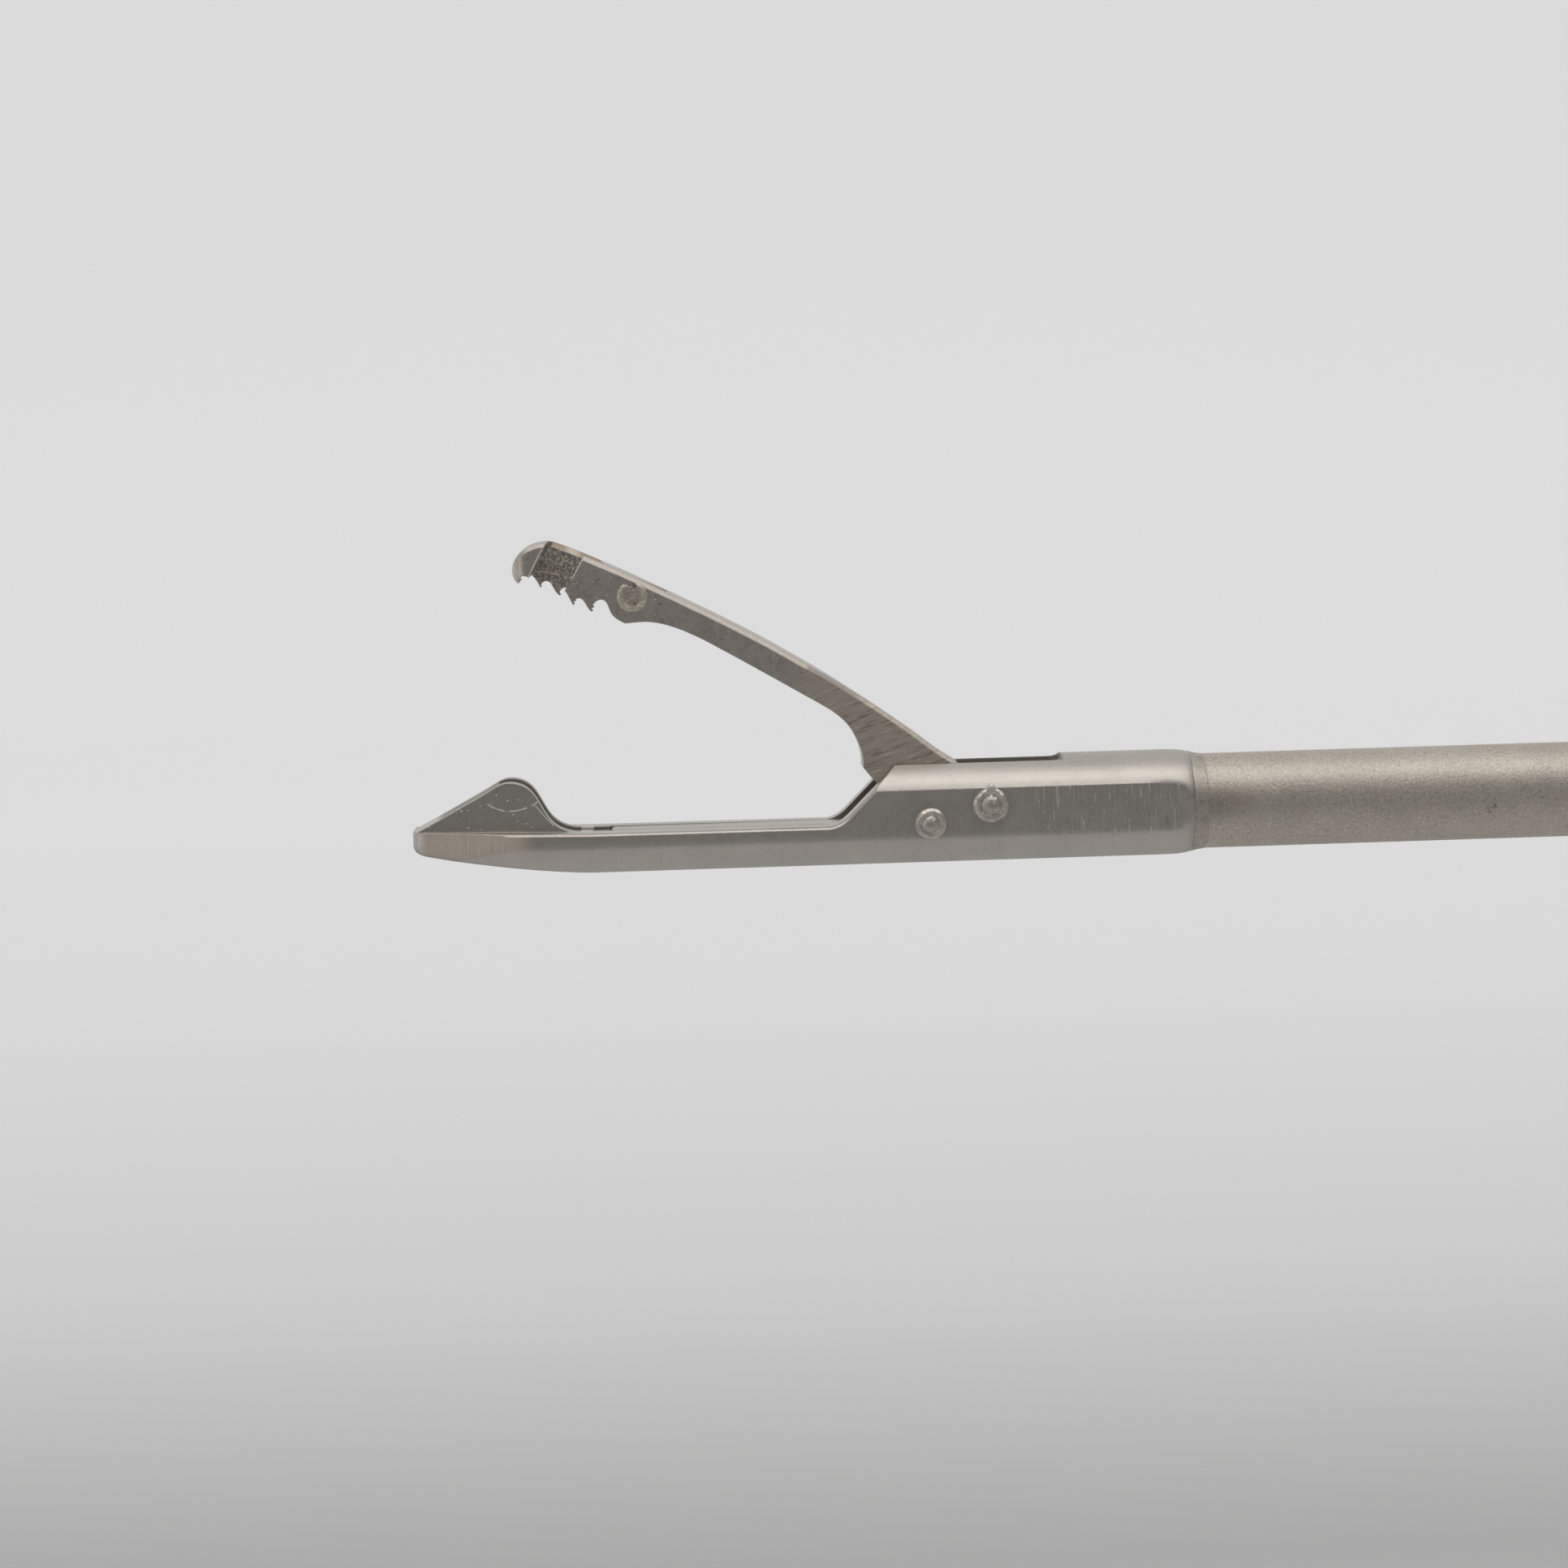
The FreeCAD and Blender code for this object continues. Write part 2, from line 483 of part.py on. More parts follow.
b = body("needle_shank", "Dims.tip_shift")
s = sketch(b, "shank_section")
seg(s, [(-8.75, CZ - AR - hw), (24.0, CZ - AR - hw), (24.0, CZ - AR + hw), (-8.75, CZ - AR + hw)], close=True)
pad(b, s, "Dims.ribbon_width")

# ---- shaft tube with its flushing hole
b = body("shaft_tube")
s = sketch(b, "tube_section", "YZ_Plane", TIP + 13.47)
circle(s, 0, 0, 2.5, "Dims.shaft_od / 2")
circle(s, 0, 0, 2.1, "Dims.shaft_id / 2")
f = pad(b, s, D["tube_rear"] - TIP - 13.47, sym=False)
s = sketch(b, "flush_hole", "XY_Plane")
circle(s, D["port_x"], 0, 0.8)
pocket(b, s, 5.0, sym=False, rev=True)

# ---- jaw rod: flat tongue with the drive eye, then round rod
b = body("jaw_rod", "Dims.tip_shift")
s = sketch(b, "tongue")
zr = D["rod_height"]
rpoly(s, [(DP[0] - 0.74, DP[1] - 0.66, 0.5), (1.1, DP[1] - 0.66, 0.2), (1.62, -0.42, 0.3), (8.2, -0.42, 0.3),
          (9.0, zr - 0.7, 0.1), (9.0, zr + 0.7, 0.1), (2.4, DP[1] + 0.66, 0.3), (DP[0] - 0.74, DP[1] + 0.60, 0.5)])
pad(b, s, "Dims.tongue_thick")
s = sketch(b, "rod_section", "YZ_Plane", 8.0)
circle(s, 0, zr, 0.8, "Dims.rod_dia / 2")
pad(b, s, 49.0 - TIP - 8.0, sym=False)
s = sketch(b, "tongue_slots")
rpoly(s, [(DP[0] - 0.43, DP[1] - 0.55, 0.42), (DP[0] + 0.43, DP[1] - 0.55, 0.42), (DP[0] + 0.43, DP[1] + 0.48, 0.42),
          (DP[0] - 0.43, DP[1] + 0.48, 0.42)])
rpoly(s, [(P2[0] - 0.62, P2[1] - 0.56, 0.52), (P2[0] + 1.62, P2[1] - 0.56, 0.52), (P2[0] + 1.62, P2[1] + 0.56, 0.52),
          (P2[0] - 0.62, P2[1] + 0.56, 0.52)])
pocket(b, s, 3.0)

b = body("rod_clevis")
s = sketch(b, "clevis_side")
PX = D["lever_x"] + 5.32 * math.sin(math.radians(5))
PZ = D["lever_z"] + 5.32 * math.cos(math.radians(5))
rpoly(s, [(47.0, zr - 1.4, 0.3), (51.6, zr - 1.4, 0.5), (52.2, PZ - 2.2, 0.5), (PX + 2.0, PZ - 2.2, 0.8), (PX + 2.0, PZ + 2.2, 0.8),
          (52.2, PZ + 2.2, 0.5), (51.6, zr + 1.4, 0.5), (47.0, zr + 1.4, 0.3)])
pad(b, s, 2.0)
s = sketch(b, "clevis_slot")
rpoly(s, [(PX - 0.85, PZ - 1.2, 0.8), (PX + 0.85, PZ - 1.2, 0.8), (PX + 0.85, PZ + 1.2, 0.8), (PX - 0.85, PZ + 1.2, 0.8)])
pocket(b, s, 4.0)
s = sketch(b, "clevis_bore", "YZ_Plane", 46.0)
circle(s, 0, zr, 0.81, "Dims.rod_dia / 2 + 0.01")
pocket(b, s, 3.02, sym=False, rev=True)

# ---- needle push rod, flattened under its front end for the ribbon
b = body("needle_push_rod")
zp = D["push_height"]
s = sketch(b, "push_section", "YZ_Plane", TIP + 19.0)
circle(s, 0, zp, 0.7, "Dims.push_dia / 2")
pad(b, s, 35.5 - TIP - 19.0, sym=False)
s = sketch(b, "push_flat")
seg(s, [(TIP + 18.0, -3.0), (TIP + 24.2, -3.0), (TIP + 24.2, CZ - AR + hw), (TIP + 18.0, CZ - AR + hw)], close=True)
pocket(b, s, 4.0)

# ---- spacers that keep the two rods apart in the tube (two alike)
def disc(x0, thick, radius, nm):
    base = doc.addObject("Part::Cylinder", nm)
    base.Radius, base.Height = radius, thick
    base.Placement = FreeCAD.Placement(V(x0, 0, 0), FreeCAD.Rotation(V(0, 1, 0), 90))
    h1 = doc.addObject("Part::Cylinder", nm + "_rod")
    h1.Radius, h1.Height = 0.84, thick + 2
    bind(h1, "Radius", "Dims.rod_dia / 2 + 0.04")
    h1.Placement = FreeCAD.Placement(V(x0 - 1, 0, zr), FreeCAD.Rotation(V(0, 1, 0), 90))
    h2 = doc.addObject("Part::Cylinder", nm + "_push")
    h2.Radius, h2.Height = 0.74, thick + 2
    bind(h2, "Radius", "Dims.push_dia / 2 + 0.04")
    h2.Placement = FreeCAD.Placement(V(x0 - 1, 0, zp), FreeCAD.Rotation(V(0, 1, 0), 90))
    tools = doc.addObject("Part::MultiFuse", nm + "_holes")
    tools.Shapes = [h1, h2]
    cut = doc.addObject("Part::Cut", nm + "_cut")
    cut.Base, cut.Tool = base, tools
    return cut


g1 = disc(TIP + 55.0, 4.0, 2.08, "guide_a")
g2 = disc(TIP + 105.0, 4.0, 2.08, "guide_b")
cmp_ = doc.addObject("Part::Compound", "rod_guides")
cmp_.Links = [g1, g2]
node(cmp_, "rod_guides")
sl = disc(D["tube_rear"] + 0.05, 2.4, 2.50, "seal")
node(sl, "rod_seal")

# ================================================================ handle
# ---- fixed frame: nose block, top rail, rear block, spine and thumb ring
b = body("handle_frame")
s = sketch(b, "frame_plate")
rpoly(s, [(12.0, 8.5, 1.0), (62.0, 8.5, 26.0), (88.0, 1.0, 26.0), (105.5, -28.0, 12.0), (111.0, -36.0, 2.0),
          (98.0, -40.0, 2.0), (95.5, -31.0, 12.0), (80.0, -8.5, 22.0), (66.0, -10.5, 4.0), (61.5, -10.5, 1.5), (61.5, 5.2, 2.0),
          (23.5, 5.2, 1.0), (23.5, -12.0, 1.5), (12.0, -8.5, 1.0)])
pad(b, s, "Dims.frame_thick")
doc.recompute()
dress(b, "Fillet", edges(b.Tip.Shape, lambda e: ends_at(e, lambda p: abs(abs(p.y) - 3.5) < 1e-3 and p.x > 68.0)), 1.4)
s = sketch(b, "thumb_ring")
circle(s, D["thumb_x"], D["thumb_z"], 15.0, "Dims.ring_outer")
pad(b, s, "Dims.thumb_thick")
s = sketch(b, "thumb_hole")
circle(s, D["thumb_x"], D["thumb_z"], 11.0, "Dims.ring_inner")
pocket(b, s, 20.0)
doc.recompute()
dress(b, "Fillet", edges(b.Tip.Shape, lambda e: circle_radius(e) > 10.5 and abs(abs(e.CenterOfMass.y) - 4.0) < 1e-3), 1.6)
revolve(b, "nose_spigot", [(4.8, 0), (4.8, 3.9), (5.1, 4.2), (12.2, 4.2), (12.2, 0)])
s = sketch(b, "tube_bore", "YZ_Plane", 4.0)
circle(s, 0, 0, 2.51, "Dims.shaft_od / 2 + 0.01")
pocket(b, s, 22.0, sym=False, rev=True)
s = sketch(b, "port_hole", "XY_Plane")
circle(s, D["port_x"], 0, 2.02)
pocket(b, s, 12.0, sym=False, rev=True)
s = sketch(b, "tapped_holes")
HOLES = [(15.1, 5.4), (15.4, -6.2), (64.2, 4.9), (64.2, -6.9)]
for hx, hz in HOLES:
    circle(s, hx, hz, 1.0)
pocket(b, s, 12.0)


# ---- side covers
def cover(name, sign):
    bb = body(name)
    off = -3.52 if sign > 0 else 5.52          # sketch plane normal is -Y
    sk = sketch(bb, name + "_plate", "XZ_Plane", off - (2.0 if sign > 0 else 0.0))
    rpoly(sk, [(12.6, 8.3, 1.2), (61.5, 8.3, 5.0), (68.0, 4.5, 3.0), (68.0, -8.5, 4.0), (58.5, -12.6, 6.0), (44.5, -13.8, 6.0),
               (42.6, -24.5, 5.5), (36.0, -30.0, 4.0), (29.8, -24.5, 5.5), (26.0, -13.8, 6.0), (12.6, -9.6, 2.5)])
    p = pad(bb, sk, "Dims.cover_thick", sym=False, rev=(sign < 0))
    return bb


def cover_holes(bb, name, sign):
    doc.recompute()
    sk = sketch(bb, name + "_holes")
    for hx, hz in HOLES:
        circle(sk, hx, hz, 1.12)
    circle(sk, D["lever_x"], D["lever_z"], 1.42, "Dims.pivot_dia / 2 + 0.02")
    circle(sk, D["trigger_x"], D["trigger_z"], 1.42, "Dims.pivot_dia / 2 + 0.02")
    pocket(bb, sk, 20.0)
    # counterbores for the pivot heads and cover screw heads, from the outer face inwards
    depth = 1.15
    start = -5.8 if sign > 0 else 5.8
    sk = sketch(bb, name + "_recess", "XZ_Plane", start)
    circle(sk, D["lever_x"], D["lever_z"], 3.12)
    circle(sk, D["trigger_x"], D["trigger_z"], 3.12)
    for hx, hz in HOLES:
        circle(sk, hx, hz, 1.95)
    # head seats are 1.15 deep under the outer face
    pocket(bb, sk, 0.28 + depth, sym=False, rev=(sign > 0))


bl = cover("left_cover", -1)
br = cover("right_cover", 1)
doc.recompute()
for bb, sg in ((bl, -1), (br, 1)):
    dress(bb, "Fillet", edges(bb.Tip.Shape, lambda e: ends_at(e, lambda p: abs(abs(p.y) - 5.52) < 1e-3)), 0.7)
cover_holes(bl, "left_cover", -1)
cover_holes(br, "right_cover", 1)


# ---- turned pieces on axes parallel to Y (profile radius, y)
def turned_y(name, x, z, prof, label=None):
    bb = body(name, x, None, z)
    revolve(bb, name + "_turned", prof, "V_Axis")
    return bb


def slot_head(bb, name, y0, y1, width, length):
    """Screwdriver slot across a head that ends at y1."""
    sk = sketch(bb, name, "XY_Plane")
    seg(sk, [(-width / 2, min(y0, y1)), (width / 2, min(y0, y1)), (width / 2, max(y0, y1)), (-width / 2, max(y0, y1))], close=True)
    pocket(bb, sk, length)


def pivot_screw(name, xn, zn):
    bb = turned_y(name, xn, zn, [(0, -5.45), (2.75, -5.45), (3.05, -5.20), (3.05, -4.40), (1.4, -4.40), (1.4, 4.30), (1.15, 4.36),
                                 (1.15, 5.25), (0.95, 5.45), (0, 5.45)])
    slot_head(bb, name + "_slot", -5.6, -4.85, 0.7, 8.0)
    return bb


def pivot_nut(name, xn, zn):
    bb = turned_y(name, xn, zn, [(1.20, 4.42), (3.05, 4.42), (3.05, 5.20), (2.75, 5.45), (1.20, 5.45)])
    sk = sketch(bb, name + "_spanner")
    circle(sk, 2.1, 0, 0.4)
    circle(sk, -2.1, 0, 0.4)
    pocket(bb, sk, 14.0)
    return bb


pivot_screw("lever_pivot_screw", "Dims.lever_x", "Dims.lever_z")
pivot_nut("lever_pivot_nut", "Dims.lever_x", "Dims.lever_z")
pivot_screw("trigger_pivot_screw", "Dims.trigger_x", "Dims.trigger_z")
pivot_nut("trigger_pivot_nut", "Dims.trigger_x", "Dims.trigger_z")
for nm in ("lever", "trigger"):
    turned_y(nm + "_bush", "Dims.%s_x" % nm, "Dims.%s_z" % nm,
             [(1.43, -2.3), (1.89, -2.3), (1.89, 2.3), (1.43, 2.3)])


# ---- cover screws: eight alike
def cover_screw(x, z, sign):
    head = Part.makeCylinder(1.85, 1.0, V(x, 4.45 * sign, z), V(0, sign, 0))
    head = head.makeChamfer(0.2, [e for e in head.Edges if abs(e.CenterOfMass.y - 5.45 * sign) < 1e-6 and circle_radius(e) > 0])
    shank = Part.makeCylinder(0.95, 2.7, V(x, 1.8 * sign, z), V(0, sign, 0))
    hexa = Part.makePolygon([V(x + 0.95 * math.cos(math.radians(60 * k + 30)), 5.6 * sign, z + 0.95 * math.sin(math.radians(60 * k + 30)))
                             for k in range(6)] + [V(x + 0.95 * math.cos(math.radians(30)), 5.6 * sign, z + 0.95 * math.sin(math.radians(30)))])
    key = Part.Face(hexa).extrude(V(0, -0.85 * sign, 0))
    return head.fuse(shank).removeSplitter().cut(key)


scr = doc.addObject("Part::Feature", "cover_screws")
scr.Shape = Part.makeCompound([cover_screw(hx, hz, sg) for hx, hz in HOLES for sg in (1, -1)])
node(scr, "cover_screws")

# ---- nose collar with a coarse knurl
b = body("nose_collar")
revolve(b, "collar_turned", [(0, 2.56), (0, 4.3), (0.4, 4.8), (4.4, 6.1), (5.0, 6.3), (5.4, 6.0), (5.8, 6.0), (6.1, 6.35), (11.0, 6.35),
                             (11.4, 6.0), (11.9, 6.0), (11.9, 4.26), (4.6, 4.26), (4.6, 2.56)])
doc.recompute()
s = sketch(b, "flute", "YZ_Plane", 5.9)
circle(s, 0, 6.75, 0.55)
fl = pocket(b, s, 5.3, sym=False, rev=True)
pp = b.newObject("PartDesign::PolarPattern", "flutes")
pp.Originals = [fl]
pp.Axis = ([f for f in b.Origin.OriginFeatures if f.Role == "X_Axis"][0], [""])
pp.Angle = 360
pp.Occurrences = 24
b.Tip = pp
doc.recompute()
s = sketch(b, "screw_hole", "XZ_Plane")
circle(s, 2.6, 0, 0.82)
pocket(b, s, 8.0, sym=False, rev=True)

b = body("collar_set_screw", 2.6, None, None)
revolve(b, "set_turned", [(0, -2.54), (0.45, -2.54), (0.78, -2.9), (0.78, -5.0), (0, -5.0)], "V_Axis")
s = sketch(b, "set_slot", "XY_Plane")
seg(s, [(-0.16, -5.2), (0.16, -5.2), (0.16, -4.5), (-0.16, -4.5)], close=True)
pocket(b, s, 4.0)

# ---- flushing connection on the nose block
b = body("flush_port", "Dims.port_x", None, None)
s = sketch(b, "port_turned", "XZ_Plane")
seg(s, [(1.0, 3.2), (2.0, 3.2), (2.0, 8.5), (3.4, 8.5), (3.4, 9.6), (2.95, 10.1), (2.95, 18.6), (3.9, 19.3), (3.9, 20.6),
        (3.6, 20.9), (D["port_bore"] / 2, 20.9), (D["port_bore"] / 2, 13.2), (1.0, 12.5)], close=True)
f = b.newObject("PartDesign::Revolution", "port_rev")
f.Profile = s
f.ReferenceAxis = (s, ["V_Axis"])
f.Angle = 360
s = sketch(b, "lug_flats", "XY_Plane", 18.9)
for k in (1, -1):
    seg(s, [(-5, 3.0 * k), (5, 3.0 * k), (5, 5 * k), (-5, 5 * k)], close=True)
pocket(b, s, 3.0, sym=False, rev=True)

# ---- jaw lever with finger ring
LX, LZ = D["lever_x"], D["lever_z"]
b = body("jaw_lever")
s = sketch(b, "lever_plate")
rpoly(s, [(PX - 1.9, PZ + 1.9, 1.85), (PX + 1.9, PZ + 1.9, 1.85), (PX + 2.1, LZ + 2.5, 1.5), (LX + 5.0, LZ + 0.5, 3.0),
          (LX + 4.6, LZ - 7.5, 12.0), (LX + 3.2, LZ - 26.0, 60.0), (LX + 8.6, LZ - 49.8, 8.0), (LX + 12.5, LZ - 58.0, 1.0),
          (LX - 7.0, LZ - 58.0, 1.0), (LX - 2.4, LZ - 49.8, 8.0), (LX - 4.6, LZ - 26.0, 60.0), (LX - 5.0, LZ - 7.5, 12.0),
          (LX - 5.0, LZ + 0.5, 3.0), (PX - 2.1, LZ + 2.5, 1.5)])
pad(b, s, "Dims.lever_thick")
doc.recompute()
dress(b, "Fillet", edges(b.Tip.Shape, lambda e: ends_at(e, lambda p: abs(abs(p.y) - 2.0) < 1e-3 and p.z < -15.0)), 0.9)
s = sketch(b, "finger_ring")
circle(s, D["finger_x"], D["finger_z"], 15.0, "Dims.ring_outer")
pad(b, s, "Dims.ring_thick")
s = sketch(b, "finger_hole")
circle(s, D["finger_x"], D["finger_z"], 11.0, "Dims.ring_inner")
pocket(b, s, 20.0)
doc.recompute()
dress(b, "Fillet", edges(b.Tip.Shape, lambda e: circle_radius(e) > 10.5 and abs(abs(e.CenterOfMass.y) - 3.0) < 1e-3), 1.5)
s = sketch(b, "fork_gap")
seg(s, [(LX - 8, LZ + 2.62), (LX + 8, LZ + 2.62), (LX + 8, 9), (LX - 8, 9)], close=True)
pocket(b, s, 2.3)
s = sketch(b, "lever_bores")
circle(s, LX, LZ, 1.9, "Dims.bush_od / 2")
circle(s, PX, PZ, 0.81, "Dims.drive_pin_dia / 2 + 0.01")
pocket(b, s, 12.0)

turned_y("lever_drive_pin", PX, PZ, [(0, -2.3), (0.65, -2.3), (0.8, -2.15), (0.8, 2.15), (0.65, 2.3), (0, 2.3)])

# ---- needle trigger
TX, TZ = D["trigger_x"], D["trigger_z"]
CPX = TX + 19.5 * math.sin(math.radians(10.5))
CPZ = TZ + 19.5 * math.cos(math.radians(10.5))
b = body("needle_trigger")
s = sketch(b, "trigger_plate")
path_pts = [(CPX - 1.75, CPZ + 1.65, 1.5), (CPX + 1.65, CPZ + 1.45, 1.5), (TX + 4.3, TZ + 6.0, 8.0), (TX + 4.6, TZ - 0.5, 4.0),
            (TX + 2.6, TZ - 5.5, 5.0), (TX - 7.5, TZ - 14.5, 10.0), (TX - 13.2, TZ - 25.0, 16.0), (TX - 13.6, TZ - 36.5, 8.0),
            (TX - 19.0, TZ - 43.0, 2.2), (TX - 23.5, TZ - 41.0, 2.2), (TX - 18.0, TZ - 34.5, 8.0), (TX - 18.2, TZ - 25.0, 14.0),
            (TX - 14.6, TZ - 13.5, 10.0), (TX - 4.6, TZ - 3.5, 4.0), (TX - 4.3, TZ + 3.0, 6.0)]
rpoly(s, path_pts)
pad(b, s, "Dims.lever_thick")
doc.recompute()
dress(b, "Fillet", edges(b.Tip.Shape, lambda e: ends_at(e, lambda p: abs(abs(p.y) - 2.0) < 1e-3 and p.z < -31.5)), 1.0)
s = sketch(b, "tongue_sides", "YZ_Plane")
for k in (1, -1):
    seg(s, [(1.0 * k, TZ + 8.5), (4.0 * k, TZ + 8.5), (4.0 * k, 6.0), (1.0 * k, 6.0)], close=True)
pocket(b, s, 200.0)
s = sketch(b, "trigger_holes")
circle(s, TX, TZ, 1.9, "Dims.bush_od / 2")
ux, uz = math.sin(math.radians(10.5)), math.cos(math.radians(10.5))
nx, nz = uz, -ux
w_, l0, l1 = 0.87, -1.15, 1.15
rpoly(s, [(CPX + nx * a + ux * c, CPZ + nz * a + uz * c, 0.8) for a, c in ((-w_, l0), (w_, l0), (w_, l1), (-w_, l1))])
pocket(b, s, 12.0)
# finger pad, wider than the plate
s = sketch(b, "finger_pad")
rpoly(s, [(TX - 17.3, TZ - 17.5, 1.0), (TX - 14.9, TZ - 17.8, 1.0), (TX - 15.8, TZ - 26.0, 12.0), (TX - 16.0, TZ - 35.5, 7.0),
          (TX - 20.2, TZ - 41.0, 0.9), (TX - 21.9, TZ - 40.2, 0.9), (TX - 18.3, TZ - 34.8, 8.0), (TX - 18.6, TZ - 26.0, 14.0)])
fp = pad(b, s, 8.0)
doc.recompute()
dress(b, "Fillet", edges(b.Tip.Shape, lambda e: ends_at(e, lambda p: abs(abs(p.y) - 4.0) < 1e-3)), 0.6)

# ---- needle carriage with its cross pin
b = body("needle_carriage")
s = sketch(b, "carriage_block")
rpoly(s, [(31.6, CPZ - 2.4, 0.5), (43.2, CPZ - 2.4, 0.5), (43.2, -0.35, 0.5), (31.6, -0.35, 0.5)])
pad(b, s, 6.8)
s = sketch(b, "carriage_slot", "XZ_Plane")
seg(s, [(36.0, CPZ - 4), (42.2, CPZ - 4), (42.2, 1), (36.0, 1)], close=True)
pocket(b, s, 2.4)
s = sketch(b, "carriage_pin_hole")
circle(s, CPX, CPZ, 0.81, "Dims.drive_pin_dia / 2 + 0.01")
pocket(b, s, 12.0)
s = sketch(b, "carriage_bore", "YZ_Plane", 31.0)
circle(s, 0, zp, 0.71, "Dims.push_dia / 2 + 0.01")
pocket(b, s, 5.1, sym=False, rev=True)
turned_y("carriage_pin", CPX, CPZ, [(0, -3.3), (0.65, -3.3), (0.8, -3.15), (0.8, 3.15), (0.65, 3.3), (0, 3.3)])


# ---- wire springs beside the hubs: one open coil with two straight legs
def wire_spring(name, x, z, y0, r, a0, sweep, leg_a, leg_b):
    """Round wire in the plane y = y0, coil radius r from angle a0 over sweep, tangent legs."""
    wr = 0.3
    a1 = a0 + sweep

    def at(a):
        return V(x + r * math.cos(a), y0, z + r * math.sin(a))

    def tang(a):
        return V(-math.sin(a), 0, math.cos(a))
    p0, p1 = at(a0), at(a1)
    w = Part.Wire([Part.makeLine(p0 - tang(a0) * leg_a, p0), Part.Arc(p0, at(a0 + sweep / 2), p1).toShape(),
                   Part.makeLine(p1, p1 + tang(a1) * leg_b)])
    prof = Part.Wire([Part.makeCircle(wr, p0 - tang(a0) * leg_a, tang(a0))])
    o_ = doc.addObject("Part::Feature", name)
    o_.Shape = w.makePipeShell([prof], True, False)
    node(o_, name)
    length = leg_a + leg_b + r * sweep
    print(name, "volume", round(o_.Shape.Volume, 3), "section x length", round(math.pi * wr * wr * length, 3))
    return o_


wire_spring("lever_spring", LX, LZ, 2.85, 3.6, math.radians(200), math.radians(290), 3.2, 4.5)
wire_spring("trigger_spring", TX, TZ, 2.85, 3.6, math.radians(150), math.radians(290), 3.2, 4.5)

# ================================================================ checks and files
doc.recompute()
bad = []
for o_ in doc.Objects:
    if any(k in o_.State for k in ("Invalid", "Error")):
        bad.append(("state", o_.Name, o_.State))
for o_ in NODES:
    sh = o_.Shape
    if sh.isNull() or not sh.isValid() or not sh.Solids:
        bad.append(("shape", o_.Label))
print("problems:", bad)
for o_ in NODES:
    sh = o_.Shape
    if sh.isNull():
        continue
    bb = sh.BoundBox
    print("%-20s solids %d vol %9.3f  x %8.2f %8.2f  y %6.2f %6.2f  z %7.2f %7.2f" % (
        o_.Label, len(sh.Solids), sh.Volume, bb.XMin, bb.XMax, bb.YMin, bb.YMax, bb.ZMin, bb.ZMax))
if bad:
    raise SystemExit("model has failed objects")
for o_ in NODES:
    o_.Shape.exportStep("parts/%s.step" % o_.Label)
print("nodes:", len(NODES))
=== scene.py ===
import bpy
import bmesh
import math
from mathutils import Matrix, Vector, noise


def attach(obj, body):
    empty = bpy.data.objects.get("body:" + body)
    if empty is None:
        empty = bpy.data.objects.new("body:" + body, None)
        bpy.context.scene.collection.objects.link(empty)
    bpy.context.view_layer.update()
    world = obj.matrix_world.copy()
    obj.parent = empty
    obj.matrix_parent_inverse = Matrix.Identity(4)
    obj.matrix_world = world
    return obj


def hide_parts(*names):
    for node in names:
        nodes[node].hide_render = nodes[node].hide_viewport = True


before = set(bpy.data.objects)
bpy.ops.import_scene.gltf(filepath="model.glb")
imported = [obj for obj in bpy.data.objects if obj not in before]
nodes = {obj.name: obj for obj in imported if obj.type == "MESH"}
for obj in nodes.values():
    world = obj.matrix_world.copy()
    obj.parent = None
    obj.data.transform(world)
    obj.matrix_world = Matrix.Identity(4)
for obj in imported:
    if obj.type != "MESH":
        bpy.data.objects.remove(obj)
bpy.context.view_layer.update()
MM = 0.001
TIP = -0.143          # jaw pivot station along the shaft


